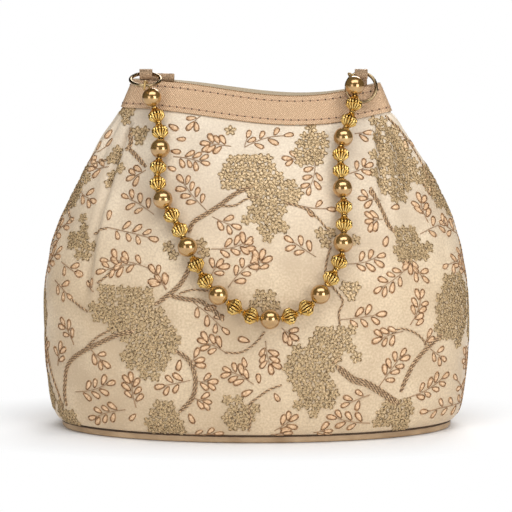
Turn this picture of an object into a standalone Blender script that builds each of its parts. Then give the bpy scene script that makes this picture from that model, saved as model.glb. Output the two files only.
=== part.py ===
"""Embroidered potli bag with a beaded handle, in metres.

+Z is up and the front of the bag faces -Y. The origin is the middle of the flat underside of the base.
The fabric, the lining and the bands are lofted on one skin, so they stay nested when a size changes.
"""
import math

import bmesh
import bpy
from mathutils import Vector

# Bag, outside sizes
BASE_WIDTH = 0.2024
BASE_DEPTH = 0.104
BELLY_WIDTH = 0.2212
BELLY_DEPTH = 0.122
NECK_WIDTH = 0.139
NECK_DEPTH = 0.040
MOUTH_WIDTH = 0.1266
MOUTH_DEPTH = 0.0188
BELLY_LEVEL = 0.058
NECK_LEVEL = 0.1642
BAND_HEIGHT = 0.0144

# Mouth line: it sags to the right of the middle, and its left corner is higher
MOUTH_SAG = 0.0053
SAG_SKEW = 1.18
SAG_POWER = 1.3
MOUTH_TILT = 0.0010

# Pinch of the side seams, and how the section turns from an oval into a lens
SEAM_HALF = 0.0035
SEAM_TUCK = 0.45
OVAL_POWER = 0.5
NECK_POWER = 1.2
LENS_POWER = 2.0

# Pressed pleats beside the front and back panels, as turns from the side seam in degrees
PLEAT_COLUMN = 36.0
PLEAT_NECK_LEFT = 22.0
PLEAT_BELLY_LEFT = 41.0
PLEAT_NECK_RIGHT = 30.0
PLEAT_BELLY_RIGHT = 49.0
PLEAT_DEPTH = 0.0026
PLEAT_RIDGE = 0.0008
PLEAT_RUN_IN = 0.0090
PLEAT_FADE = 0.010
PLEAT_FULL = 0.045
VALLEY_COLUMN = 30.5
VALLEY_SPREAD = 4.5
RIDGE_COLUMN = 38.0
RIDGE_SPREAD = 3.5

# Layers
FABRIC_T = 0.0008
LINING_T = 0.0005
BAND_T = 0.0008
BAND_PROUD = 0.0003
LAYER_GAP = 0.0004
FABRIC_TUCK = 0.0045
LINING_EASE = 0.0034
SEAT_GAP = 0.0003
RIM_DROP = 0.0016

# Base
TRAY_HEIGHT = 0.0034
TRAY_T = 0.0008
TRAY_ROUND = 0.0010
ROUND_SHARE = 0.3
BOARD_T = 0.0026
BOARD_EASE = 0.0008

# Magnetic snap
SNAP_RADIUS = 0.0060
SNAP_T = 0.0018
STUD_RADIUS = 0.0026
STUD_LENGTH = 0.0016
WASHER_RADIUS = 0.0040
WASHER_T = 0.0006
SNAP_DROP = 0.0061
SNAP_SEAT = 0.0005
SNAP_SEGMENTS = 20

# Handle rings and their tabs
RING_OUTER_RADIUS = 0.0085
RING_WIRE_RADIUS = 0.0009
RING_RISE = 0.0005
RING_TILT_LEFT = 70.0
RING_TILT_RIGHT = 15.0
TAB_INSET_LEFT = 0.0068
TAB_INSET_RIGHT = 0.0098
TAB_X_LEFT = TAB_INSET_LEFT - MOUTH_WIDTH / 2.0
TAB_X_RIGHT = MOUTH_WIDTH / 2.0 - TAB_INSET_RIGHT
TAB_WIDTH = 0.0065
TAB_T = 0.0010
TAB_TAIL = 0.0125
EYE_RADIUS = 0.0018
EYE_WALL = 0.0007
EYE_FORWARD = 0.0052
EYE_DROP = 0.0002
TAB_BEND = 58.0
TAB_SHOULDER = 0.55
EYE_STEPS = 12

# Beads and thread
PEARL_RADIUS = 0.0050
FLUTED_RADIUS = 0.0043
FLUTED_LENGTH = 0.0088
FLUTED_WAIST = 0.0017
FLUTED_BELT = 0.0020
FLUTE_DEPTH = 0.0005
FLUTES = 7
BORE_RADIUS = 0.0010
BEAD_GAP = 0.00057
CORD_RADIUS = 0.0005
KNOT_STEPS = 9
FIRST_BEAD = 0.0163
STRAND = "PFFPFFPFFPFFPFFPFFPFFPFFPFFPFFP"

# Route of the thread from the left ring, over the front of the bag, to the right ring
HANDLE_ROUTE = [
    (-0.0570, -0.0174, 0.1762), (-0.0568, -0.0192, 0.1755), (-0.0566, -0.0210, 0.1768),
    (-0.0565, -0.0204, 0.1790), (-0.0562, -0.0176, 0.1798), (-0.0554, -0.0146, 0.1784),
    (-0.0544, -0.0134, 0.1756), (-0.0532, -0.0145, 0.1711), (-0.0510, -0.0169, 0.1624),
    (-0.0488, -0.0213, 0.1554), (-0.0482, -0.0269, 0.1479), (-0.0500, -0.0343, 0.1328),
    (-0.0482, -0.0409, 0.1242), (-0.0385, -0.0510, 0.1090), (-0.0348, -0.0558, 0.1008),
    (-0.0260, -0.0610, 0.0846), (-0.0192, -0.0643, 0.0770), (-0.0030, -0.0657, 0.0666),
    (0.0063, -0.0660, 0.0650), (0.0155, -0.0654, 0.0660), (0.0250, -0.0638, 0.0706),
    (0.0318, -0.0625, 0.0770), (0.0414, -0.0564, 0.0928), (0.0432, -0.0526, 0.1028),
    (0.0438, -0.0438, 0.1198), (0.0426, -0.0396, 0.1290), (0.0424, -0.0284, 0.1456),
    (0.0443, -0.0229, 0.1536), (0.0474, -0.0193, 0.1608), (0.0499, -0.0161, 0.1684),
    (0.0503, -0.0130, 0.1760), (0.0496, -0.0110, 0.1808), (0.0482, -0.0082, 0.1826),
    (0.0470, -0.0058, 0.1828), (0.0474, -0.0038, 0.1816), (0.0484, -0.0035, 0.1802),
    (0.0491, -0.0041, 0.1795),
]

# Stations of the loft: shares of the way up the lower and the upper bag, and turns in one quarter
LOWER_SHARES = [0.0, 0.025, 0.09, 0.22, 0.50, 1.0]
UPPER_SHARES = [0.17, 0.33, 0.48, 0.61, 0.73, 0.83, 0.91, 0.965]
LINING_LOWER = [0.14, 0.50, 1.0]
LINING_UPPER = [0.33, 0.61, 0.83, 0.95]
TURN_STEP = 0.004
LEVEL_STEP = 0.0002
QUARTER_COLUMNS = [0.0, 6.0, 13.0, 20.0, 27.0, 31.5, 36.0, 41.0, 48.0, 58.0, 69.0, 80.0]

MOUTH_LEVEL = NECK_LEVEL + BAND_HEIGHT
SEAM_LEVEL = TRAY_HEIGHT + SEAT_GAP
BAND_INNER = BAND_T - BAND_PROUD
TUCK_OUTER = BAND_INNER + LAYER_GAP
LINING_NECK = TUCK_OUTER + FABRIC_T + LAYER_GAP
LINING_BELLY = FABRIC_T + LINING_EASE
LIP_INNER = LINING_NECK + LINING_T

for old in list(bpy.data.objects):
    bpy.data.objects.remove(old)

bag_collection = bpy.data.collections.new("potli_bag")
bpy.context.scene.collection.children.link(bag_collection)


def material(name, color, roughness, metallic=0.0):
    finish = bpy.data.materials.new(name)
    finish.use_nodes = True
    shader = finish.node_tree.nodes["Principled BSDF"]
    shader.inputs["Base Color"].default_value = (*color, 1.0)
    shader.inputs["Roughness"].default_value = roughness
    shader.inputs["Metallic"].default_value = metallic
    return finish


SATIN = material("ivory_satin", (0.76, 0.66, 0.50), 0.45)
LINING_CLOTH = material("khaki_lining", (0.42, 0.36, 0.23), 0.8)
BAND_LEATHER = material("rose_leatherette", (0.66, 0.45, 0.29), 0.6)
BASE_LEATHER = material("tan_leatherette", (0.56, 0.36, 0.19), 0.6)
BOARD = material("grey_board", (0.32, 0.29, 0.25), 0.9)
SNAP_METAL = material("snap_steel", (0.62, 0.60, 0.55), 0.35, 1.0)
RING_METAL = material("ring_steel", (0.28, 0.26, 0.23), 0.3, 1.0)
THREAD = material("gold_thread", (0.55, 0.42, 0.18), 0.6)
PEARL = material("bronze_pearl", (0.45, 0.26, 0.08), 0.25, 0.3)
GOLD = material("bright_gold", (0.80, 0.52, 0.12), 0.2, 1.0)


def place_object(name, data, finish, parent=None, location=(0.0, 0.0, 0.0)):
    piece = bpy.data.objects.new(name, data)
    piece.data.materials.append(finish)
    piece.parent = parent
    piece.location = location
    bag_collection.objects.link(piece)
    return piece


def mesh_object(name, build, finish, parent=None, location=(0.0, 0.0, 0.0)):
    mesh = bpy.data.meshes.new(name)
    build.to_mesh(mesh)
    build.free()
    mesh.shade_smooth()
    mesh.set_sharp_from_angle(angle=math.radians(35.0))
    return place_object(name, mesh, finish, parent, location)


def ramp(low, high, value):
    share = min(1.0, max(0.0, (value - low) / (high - low)))
    return share * share * (3.0 - 2.0 * share)


def half_size(level, base, belly, neck, mouth):
    """Half of a width or depth: a bulge from the seam, a parabola to the neck and straight bands."""
    if level < BELLY_LEVEL:
        share = max(0.0, (level - SEAM_LEVEL) / (BELLY_LEVEL - SEAM_LEVEL))
        full = base + (belly - base) * math.sin(math.pi / 2.0 * share ** SEAM_TUCK)
    elif level < NECK_LEVEL:
        share = (level - BELLY_LEVEL) / (NECK_LEVEL - BELLY_LEVEL)
        full = belly - (belly - neck) * share * share
    else:
        full = neck - (neck - mouth) * (level - NECK_LEVEL) / BAND_HEIGHT
    return full / 2.0


def pleat_turn(side, level):
    """Turn of the pleat's crest from the side seam: it runs outwards as it goes down from the neck."""
    share = 1.0 - ramp(BELLY_LEVEL, NECK_LEVEL, level) ** 2
    if side < 0:
        return PLEAT_NECK_LEFT + (PLEAT_BELLY_LEFT - PLEAT_NECK_LEFT) * share
    return PLEAT_NECK_RIGHT + (PLEAT_BELLY_RIGHT - PLEAT_NECK_RIGHT) * share


def turn_of(side, column, level):
    """A column's turn in radians, stretched so that one column lies along the pleat."""
    crest = pleat_turn(side, level)
    if column < PLEAT_COLUMN:
        turn = column / PLEAT_COLUMN * crest
    else:
        turn = crest + (column - PLEAT_COLUMN) / (90.0 - PLEAT_COLUMN) * (90.0 - crest)
    return math.radians(turn)


def skin_point(side, face, turn, level):
    """Point on the smooth outer skin. side and face are the signs of x and y."""
    width = half_size(level, BASE_WIDTH, BELLY_WIDTH, NECK_WIDTH, MOUTH_WIDTH)
    depth = half_size(level, BASE_DEPTH, BELLY_DEPTH, NECK_DEPTH, MOUTH_DEPTH)
    across = math.cos(turn)
    from_end = width * (1.0 - across)
    round_end = SEAM_HALF
    if from_end < SEAM_HALF:
        round_end = math.sqrt(max(0.0, 2.0 * SEAM_HALF * from_end - from_end * from_end))
    power = OVAL_POWER + (NECK_POWER - OVAL_POWER) * ramp(BELLY_LEVEL, NECK_LEVEL, level)
    power += (LENS_POWER - NECK_POWER) * ramp(NECK_LEVEL, MOUTH_LEVEL, level)
    out = round_end + (depth - SEAM_HALF) * max(0.0, 1.0 - across * across) ** power
    rise = max(0.0, (level - BELLY_LEVEL) / (NECK_LEVEL - BELLY_LEVEL))
    sag = MOUTH_SAG * min(1.0, rise ** 3)
    sag *= max(0.0, 1.0 - across * across) ** SAG_POWER * (1.0 + SAG_SKEW * side * across)
    tilt = MOUTH_TILT * min(1.0, rise ** 3) * side * across
    return Vector((side * width * across, face * math.copysign(out, turn), level - sag - tilt))


def skin_normal(side, face, turn, level):
    ahead = skin_point(side, face, turn + TURN_STEP, level)
    round_way = ahead - skin_point(side, face, turn - TURN_STEP, level)
    low = max(level - LEVEL_STEP, SEAM_LEVEL)
    up_way = skin_point(side, face, turn, level + LEVEL_STEP) - skin_point(side, face, turn, low)
    normal = round_way.cross(up_way).normalized()
    return normal if side * face > 0 else -normal


def pleat_height(column, level):
    """How far the fabric stands off the skin: a valley beside the crest of the pleat."""
    valley = math.exp(-((column - VALLEY_COLUMN) / VALLEY_SPREAD) ** 2)
    crest = math.exp(-((column - RIDGE_COLUMN) / RIDGE_SPREAD) ** 2)
    below_neck = 1.0 - ramp(NECK_LEVEL - PLEAT_RUN_IN, NECK_LEVEL, level)
    above_belly = ramp(BELLY_LEVEL - PLEAT_FADE, NECK_LEVEL - PLEAT_FULL, level)
    return (PLEAT_RIDGE * crest - PLEAT_DEPTH * valley) * below_neck * above_belly


def layer_point(side, face, column, level, inset):
    turn = turn_of(side, column, level)
    normal = skin_normal(side, face, turn, level)
    return skin_point(side, face, turn, level) - normal * inset


def columns_of(sides):
    """Columns in order round the bag from the right seam: the front half, the back half, or both."""
    back_down = [90.0] + QUARTER_COLUMNS[:0:-1]
    columns = []
    if "front" in sides:
        columns += [(1, -1, column) for column in QUARTER_COLUMNS]
        columns += [(-1, -1, column) for column in back_down]
    if "back" in sides:
        columns += [(-1, 1, column) for column in QUARTER_COLUMNS]
        columns += [(1, 1, column) for column in back_down]
    return columns


def loft(rows, closed, floor=False):
    """Sheet through rows of points. A closed one runs right round, and floor closes its first row."""
    build = bmesh.new()
    rings = [[build.verts.new(point) for point in row] for row in rows]
    count = len(rings[0])
    last = count if closed else count - 1
    for below, above in zip(rings, rings[1:]):
        for start in range(last):
            end = (start + 1) % count
            build.faces.new((below[end], below[start], above[start], above[end]))
    if floor:
        build.faces.new(rings[0])
    return build


def thicken(piece, thickness):
    wall = piece.modifiers.new("wall", "SOLIDIFY")
    wall.thickness = thickness
    wall.offset = -1.0
    wall.use_even_offset = True
    wall.use_quality_normals = True
    return piece


def levels_between(low, high, shares):
    return [low + (high - low) * share for share in shares]


def base_point(side, face, column, inset, height):
    """Point on the base's outline, moved in along its plan."""
    turn = turn_of(side, column, SEAM_LEVEL)
    ahead = skin_point(side, face, turn + TURN_STEP, SEAM_LEVEL)
    behind = skin_point(side, face, turn - TURN_STEP, SEAM_LEVEL)
    along = (ahead - behind).normalized()
    outward = Vector((along.y, -along.x, 0.0)) * (side * face)
    point = skin_point(side, face, turn, SEAM_LEVEL) - outward * inset
    return Vector((point.x, point.y, height))


def base_ring(inset, height):
    return [base_point(*column, inset, height) for column in columns_of(("front", "back"))]


def make_base():
    rows = [
        base_ring(TRAY_ROUND, 0.0),
        base_ring(TRAY_ROUND * ROUND_SHARE, TRAY_ROUND * ROUND_SHARE),
        base_ring(0.0, TRAY_ROUND),
        base_ring(0.0, TRAY_HEIGHT),
    ]
    thicken(mesh_object("base_cover", loft(rows, True, floor=True), BASE_LEATHER), TRAY_T)
    low = TRAY_T + SEAT_GAP
    inset = TRAY_T + BOARD_EASE
    board = loft([base_ring(inset, low), base_ring(inset, low + BOARD_T)], True, floor=True)
    top = [vertex for vertex in board.verts if vertex.co.z > low + BOARD_T / 2.0]
    board.faces.new(list(reversed(top)))
    mesh_object("base_board", board, BOARD)


def fabric_row(level):
    row = []
    for side, face, column in columns_of(("front", "back")):
        row.append(layer_point(side, face, column, level, -pleat_height(column, level)))
    return row


def tucked_row(level):
    return [layer_point(*column, level, TUCK_OUTER) for column in columns_of(("front", "back"))]


def make_fabric():
    levels = levels_between(SEAM_LEVEL, BELLY_LEVEL, LOWER_SHARES)
    levels += levels_between(BELLY_LEVEL, NECK_LEVEL, UPPER_SHARES)
    rows = [fabric_row(level) for level in levels]
    rows += [tucked_row(NECK_LEVEL), tucked_row(NECK_LEVEL + FABRIC_TUCK)]
    thicken(mesh_object("outer_fabric", loft(rows, True), SATIN), FABRIC_T)


def lining_inset(level):
    share = ramp(NECK_LEVEL - PLEAT_RUN_IN, NECK_LEVEL, level)
    return LINING_BELLY + (LINING_NECK - LINING_BELLY) * share


def make_lining():
    floor_level = SEAM_LEVEL + SEAT_GAP
    around = columns_of(("front", "back"))
    levels = levels_between(SEAM_LEVEL, BELLY_LEVEL, LINING_LOWER)
    levels += levels_between(BELLY_LEVEL, NECK_LEVEL, LINING_UPPER)
    levels += [NECK_LEVEL, NECK_LEVEL + FABRIC_TUCK, MOUTH_LEVEL - RIM_DROP]
    rows = [base_ring(LINING_BELLY, floor_level)]
    for level in levels:
        rows.append([layer_point(*column, level, lining_inset(level)) for column in around])
    thicken(mesh_object("lining", loft(rows, True, floor=True), LINING_CLOTH), LINING_T)


def make_band(name, half):
    """Band of one half: its wall, and the lip turned in over the rim of the lining."""
    columns = columns_of((half,))
    columns.append((-columns[0][0], columns[0][1], 0.0))
    rows = []
    for level in (NECK_LEVEL, NECK_LEVEL + FABRIC_TUCK, MOUTH_LEVEL):
        rows.append([layer_point(*column, level, -BAND_PROUD) for column in columns])
    rows.append([layer_point(*column, MOUTH_LEVEL, LIP_INNER) for column in columns])
    face = columns[0][1]
    for row in rows:
        for point in row:
            if point.y * face < SEAT_GAP:
                point.y = SEAT_GAP * face
        row[0].y = SEAT_GAP * face
        row[-1].y = SEAT_GAP * face
    thicken(mesh_object(name, loft(rows, False), BAND_LEATHER), BAND_T)


def turned(name, profile, steps, finish, parent=None):
    """Solid turned round Z from a closed profile of (radius, height), from the top down outside."""
    build = bmesh.new()
    ring = [build.verts.new((radius, 0.0, height)) for radius, height in profile]
    for start, end in zip(ring, ring[1:] + ring[:1]):
        build.edges.new((start, end))
    mesh = bpy.data.meshes.new(name)
    build.to_mesh(mesh)
    build.free()
    piece = place_object(name, mesh, finish, parent)
    screw = piece.modifiers.new("turn", "SCREW")
    screw.steps = steps
    screw.render_steps = steps
    screw.use_merge_vertices = True
    screw.merge_threshold = 0.000001
    screw.use_smooth_shade = True
    return piece


def disc(name, radius, thickness, finish, stud=None):
    """Disc that stands on Z = 0. stud is the radius and length of a pin on its top."""
    build = bmesh.new()
    bmesh.ops.create_cone(build, cap_ends=True, segments=SNAP_SEGMENTS, radius1=radius, radius2=radius,
                          depth=thickness)
    bmesh.ops.translate(build, verts=build.verts, vec=(0.0, 0.0, thickness / 2.0))
    if stud:
        top = [face for face in build.faces if face.calc_center_median().z > thickness * 0.9]
        bmesh.ops.inset_region(build, faces=top, thickness=radius - stud[0])
        raised = bmesh.ops.extrude_face_region(build, geom=top)
        lifted = [item for item in raised["geom"] if isinstance(item, bmesh.types.BMVert)]
        bmesh.ops.translate(build, verts=lifted, vec=(0.0, 0.0, stud[1]))
        bmesh.ops.delete(build, geom=top, context="FACES_ONLY")
    return mesh_object(name, build, finish)


def seat_on_wall(piece, face, inset):
    """Put a piece's Z axis along the wall's inward normal at the middle of the front or back."""
    level = MOUTH_LEVEL - SNAP_DROP
    turn = math.pi / 2.0
    normal = skin_normal(1, face, turn, level)
    piece.location = skin_point(1, face, turn, level) - normal * inset
    piece.rotation_euler = (-normal).to_track_quat("Z", "X").to_euler()


def make_snap():
    washer_inset = (BAND_INNER + LINING_NECK - WASHER_T) / 2.0
    cap_inset = LIP_INNER + SNAP_SEAT
    for face, name in ((-1, "snap_washer_front"), (1, "snap_washer_back")):
        seat_on_wall(disc(name, WASHER_RADIUS, WASHER_T, SNAP_METAL), face, washer_inset)
    stud = disc("snap_stud", SNAP_RADIUS, SNAP_T, SNAP_METAL, (STUD_RADIUS, STUD_LENGTH))
    seat_on_wall(stud, -1, cap_inset)
    hole = STUD_RADIUS + SEAT_GAP
    socket_profile = [(SNAP_RADIUS, SNAP_T), (SNAP_RADIUS, 0.0), (hole, 0.0), (hole, SNAP_T)]
    seat_on_wall(turned("snap_socket", socket_profile, SNAP_SEGMENTS, SNAP_METAL), 1, cap_inset)


def rim_height(side, x):
    """Height of the mouth's rim over a place near a corner."""
    turn = math.acos(abs(x) / (MOUTH_WIDTH / 2.0))
    return skin_point(side, -1, turn, MOUTH_LEVEL).z


EYE_OUTER = EYE_RADIUS + EYE_WALL
TAB_SEAT = rim_height(-1, TAB_X_LEFT - TAB_WIDTH / 2.0) + SEAT_GAP + EYE_WALL * 0.5
AXIS = Vector((0.0, -EYE_FORWARD, TAB_SEAT + EYE_OUTER - EYE_DROP))


def make_tab(name, x):
    """Folded strap in the YZ plane: a tail in the side seam, a bend over the rim and a rolled eye."""
    eye_y = AXIS.y
    eye_z = AXIS.z
    low_turn = math.acos(min(1.0, (eye_z - TAB_SEAT) / EYE_OUTER)) - math.pi / 2.0
    high_turn = math.radians(TAB_BEND)
    outline = [(TAB_T / 2.0, TAB_SEAT - TAB_TAIL), (TAB_T / 2.0, TAB_SEAT + EYE_OUTER * TAB_SHOULDER)]
    for index in range(EYE_STEPS + 1):
        turn = high_turn + (low_turn + 2.0 * math.pi - high_turn) * index / EYE_STEPS
        outline.append((eye_y + EYE_OUTER * math.cos(turn), eye_z + EYE_OUTER * math.sin(turn)))
    outline += [(-TAB_T / 2.0, TAB_SEAT), (-TAB_T / 2.0, TAB_SEAT - TAB_TAIL)]
    eye = []
    for index in range(EYE_STEPS):
        turn = 2.0 * math.pi * index / EYE_STEPS
        eye.append((eye_y + EYE_RADIUS * math.cos(turn), eye_z + EYE_RADIUS * math.sin(turn)))
    curve = bpy.data.curves.new(name, "CURVE")
    curve.dimensions = "2D"
    curve.fill_mode = "BOTH"
    curve.extrude = TAB_WIDTH / 2.0
    for loop in (outline, eye):
        spline = curve.splines.new("POLY")
        spline.points.add(len(loop) - 1)
        spline.use_cyclic_u = True
        for point, (y, z) in zip(spline.points, loop):
            point.co = (y, z, 0.0, 1.0)
    strap = place_object(name, curve, BAND_LEATHER, location=(x, 0.0, 0.0))
    strap.rotation_euler = (math.pi / 2.0, 0.0, math.pi / 2.0)


handle_pivot = bpy.data.objects.new("handle_pivot", None)
handle_pivot.location = AXIS
bag_collection.objects.link(handle_pivot)


def make_ring(name, x, tilt):
    """Round ring through the tab's eye, tilted forwards from hanging straight down."""
    middle = RING_OUTER_RADIUS - RING_WIRE_RADIUS
    drop = middle - RING_RISE
    turn = math.radians(tilt)
    bpy.ops.mesh.primitive_torus_add(major_segments=24, minor_segments=8, major_radius=middle,
                                     minor_radius=RING_WIRE_RADIUS)
    ring = bpy.context.object
    ring.name = name
    ring.data.name = name
    ring.data.materials.append(RING_METAL)
    ring.data.shade_smooth()
    for collection in list(ring.users_collection):
        collection.objects.unlink(ring)
    bag_collection.objects.link(ring)
    ring.parent = handle_pivot
    ring.location = (x, -drop * math.sin(turn), -drop * math.cos(turn))
    ring.rotation_euler = (math.pi / 2.0 - turn, 0.0, 0.0)


def route_points(per_span):
    """Smooth curve through the route's points."""
    knots = [Vector(point) for point in HANDLE_ROUTE]
    knots = [knots[0] * 2.0 - knots[1]] + knots + [knots[-1] * 2.0 - knots[-2]]
    points = []
    for a, b, c, d in zip(knots, knots[1:], knots[2:], knots[3:]):
        for index in range(per_span):
            t = index / per_span
            bend = 2.0 * a - 5.0 * b + 4.0 * c - d
            twist = 3.0 * b - a - 3.0 * c + d
            points.append(0.5 * (2.0 * b + (c - a) * t + bend * t ** 2 + twist * t ** 3))
    points.append(knots[-2])
    return points


ROUTE = route_points(24)
ROUTE_LENGTHS = [0.0]
for start, end in zip(ROUTE, ROUTE[1:]):
    ROUTE_LENGTHS.append(ROUTE_LENGTHS[-1] + (end - start).length)


def route_at(length):
    for index, (low, high) in enumerate(zip(ROUTE_LENGTHS, ROUTE_LENGTHS[1:])):
        if length <= high:
            return ROUTE[index].lerp(ROUTE[index + 1], (length - low) / (high - low))
    return ROUTE[-1].copy()


def bead_spans():
    """Kind, start and end of each bead along the route, one after another."""
    spans = []
    at = FIRST_BEAD
    pearl_length = 2.0 * math.sqrt(PEARL_RADIUS ** 2 - BORE_RADIUS ** 2)
    for kind in STRAND:
        length = pearl_length if kind == "P" else FLUTED_LENGTH
        spans.append((kind, at, at + length))
        at += length + BEAD_GAP
    return spans


def make_cord():
    """Thread that is knotted round both rings and runs straight through each bead."""
    spans = bead_spans()
    first = spans[0][1]
    last = spans[-1][2]
    lengths = [first * index / KNOT_STEPS for index in range(KNOT_STEPS)]
    for kind, begin, finish in spans:
        lengths += [begin, finish]
    rest = ROUTE_LENGTHS[-1] - last
    lengths += [last + rest * (index + 1) / KNOT_STEPS for index in range(KNOT_STEPS)]
    curve = bpy.data.curves.new("handle_cord", "CURVE")
    curve.dimensions = "3D"
    curve.bevel_depth = CORD_RADIUS
    curve.bevel_resolution = 2
    curve.use_fill_caps = True
    spline = curve.splines.new("POLY")
    spline.points.add(len(lengths) - 1)
    for length, point in zip(lengths, spline.points):
        point.co = (*(route_at(length) - AXIS), 1.0)
    place_object("handle_cord", curve, THREAD, handle_pivot)


def pearl_profile():
    start = math.asin(BORE_RADIUS / PEARL_RADIUS)
    steps = 6
    profile = []
    for index in range(steps + 1):
        turn = start + (math.pi - 2.0 * start) * index / steps
        profile.append((PEARL_RADIUS * math.sin(turn), PEARL_RADIUS * math.cos(turn)))
    return profile


def fluted_mesh():
    """Lantern bead: two fluted cones with a belt between them, bored through."""
    end = FLUTED_LENGTH / 2.0
    belt = FLUTED_BELT / 2.0
    profile = [(FLUTED_WAIST, end), (FLUTED_RADIUS, belt), (FLUTED_RADIUS, -belt), (FLUTED_WAIST, -end),
               (BORE_RADIUS, -end), (BORE_RADIUS, end)]
    build = bmesh.new()
    rings = []
    for radius, height in profile:
        ring = []
        for index in range(FLUTES * 2):
            cut = FLUTE_DEPTH if radius == FLUTED_RADIUS and index % 2 else 0.0
            turn = math.pi * index / FLUTES
            x = (radius - cut) * math.cos(turn)
            y = (radius - cut) * math.sin(turn)
            ring.append(build.verts.new((x, y, height)))
        rings.append(ring)
    for upper, lower in zip(rings, rings[1:] + rings[:1]):
        for index in range(FLUTES * 2):
            following = (index + 1) % (FLUTES * 2)
            build.faces.new((upper[index], lower[index], lower[following], upper[following]))
    mesh = bpy.data.meshes.new("fluted_bead")
    build.to_mesh(mesh)
    build.free()
    return mesh


def string_beads():
    """Each bead sits on the chord that it spans on the route."""
    fluted = fluted_mesh()
    counts = {"P": 0, "F": 0}
    for kind, begin_length, end_length in bead_spans():
        counts[kind] += 1
        begin = route_at(begin_length)
        finish = route_at(end_length)
        if kind == "P":
            bead = turned(f"pearl_{counts[kind]:02d}", pearl_profile(), 12, PEARL, handle_pivot)
        else:
            bead = place_object(f"fluted_bead_{counts[kind]:02d}", fluted, GOLD, handle_pivot)
        bead.location = (begin + finish) / 2.0 - AXIS
        bead.rotation_euler = (finish - begin).to_track_quat("Z", "Y").to_euler()


make_base()
make_fabric()
make_lining()
make_band("band_front", "front")
make_band("band_back", "back")
make_snap()
make_tab("tab_left", TAB_X_LEFT)
make_tab("tab_right", TAB_X_RIGHT)
make_ring("ring_left", TAB_X_LEFT, RING_TILT_LEFT)
make_ring("ring_right", TAB_X_RIGHT, RING_TILT_RIGHT)
make_cord()
string_beads()
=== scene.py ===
"""Looks of the embroidered potli bag. Metres, +Z up, and the front of the bag faces -Y."""
import math
import random

import bmesh
import bpy
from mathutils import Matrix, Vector, noise
from mathutils.bvhtree import BVHTree


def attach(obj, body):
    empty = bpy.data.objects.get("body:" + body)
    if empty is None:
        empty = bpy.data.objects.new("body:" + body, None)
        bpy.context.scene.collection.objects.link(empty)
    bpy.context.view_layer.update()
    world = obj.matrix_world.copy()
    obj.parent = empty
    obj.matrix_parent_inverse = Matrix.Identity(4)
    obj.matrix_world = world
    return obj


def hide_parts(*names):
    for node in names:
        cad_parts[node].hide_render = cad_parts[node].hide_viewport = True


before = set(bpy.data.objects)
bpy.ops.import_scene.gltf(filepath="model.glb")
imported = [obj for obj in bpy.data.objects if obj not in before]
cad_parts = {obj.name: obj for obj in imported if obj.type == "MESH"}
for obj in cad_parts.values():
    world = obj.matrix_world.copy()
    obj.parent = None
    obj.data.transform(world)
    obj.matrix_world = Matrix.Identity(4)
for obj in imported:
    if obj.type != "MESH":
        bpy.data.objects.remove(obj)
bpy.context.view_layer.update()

# Camera. It stands about 1.35 m in front of the bag and looks slightly down on it, through a long
# lens, so that the mouth shows as a thin line and the base as a shallow curve.

def new_object(name, data):
    """Object with this data, linked into the scene."""
    piece = bpy.data.objects.new(name, data)
    bpy.context.scene.collection.objects.link(piece)
    return piece


camera_lens = bpy.data.cameras.new("front_camera")
camera_lens.lens = 183.4
camera_lens.sensor_width = 36.0
camera_lens.shift_x = -0.00098
camera_lens.shift_y = -0.01533
camera = new_object("front_camera", camera_lens)
camera.location = (0.0, -1.3385, 0.2682)
camera.rotation_euler = (math.radians(82.5), 0.0, 0.0)
bpy.context.scene.camera = camera

# Handle thread. A limp twisted gold yarn about 1 mm thick, knotted round both rings, on which the
# beads are strung. It hangs from the rings and lies on the front of the bag.
THREAD_RADIUS = 0.0005
THREAD_ROUTE = [
    (-0.0570, -0.0174, 0.1762), (-0.0568, -0.0192, 0.1755), (-0.0566, -0.0210, 0.1768),
    (-0.0565, -0.0204, 0.1790), (-0.0562, -0.0176, 0.1798), (-0.0554, -0.0146, 0.1784),
    (-0.0544, -0.0134, 0.1756), (-0.0532, -0.0145, 0.1711), (-0.0510, -0.0169, 0.1624),
    (-0.0488, -0.0213, 0.1554), (-0.0482, -0.0269, 0.1479), (-0.0500, -0.0343, 0.1328),
    (-0.0482, -0.0409, 0.1242), (-0.0385, -0.0510, 0.1090), (-0.0348, -0.0558, 0.1008),
    (-0.0260, -0.0610, 0.0846), (-0.0192, -0.0643, 0.0770), (-0.0030, -0.0657, 0.0666),
    (0.0063, -0.0660, 0.0650), (0.0155, -0.0654, 0.0660), (0.0250, -0.0638, 0.0706),
    (0.0318, -0.0625, 0.0770), (0.0414, -0.0564, 0.0928), (0.0432, -0.0526, 0.1028),
    (0.0438, -0.0438, 0.1198), (0.0426, -0.0396, 0.1290), (0.0424, -0.0284, 0.1456),
    (0.0443, -0.0229, 0.1536), (0.0474, -0.0193, 0.1608), (0.0499, -0.0161, 0.1684),
    (0.0503, -0.0130, 0.1760), (0.0496, -0.0110, 0.1808), (0.0482, -0.0082, 0.1826),
    (0.0470, -0.0058, 0.1828), (0.0474, -0.0038, 0.1816), (0.0484, -0.0035, 0.1802),
    (0.0491, -0.0041, 0.1795),
]
STRAND = "PFFPFFPFFPFFPFFPFFPFFPFFPFFPFFP"
PEARL_RADIUS = 0.0050
BORE_RADIUS = 0.0010
BORE_HALF = math.sqrt(PEARL_RADIUS ** 2 - BORE_RADIUS ** 2)
LANTERN_LENGTH = 0.0088
BEAD_GAP = 0.00057
FIRST_BEAD = 0.0163
KNOT_STEPS = 9


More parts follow.
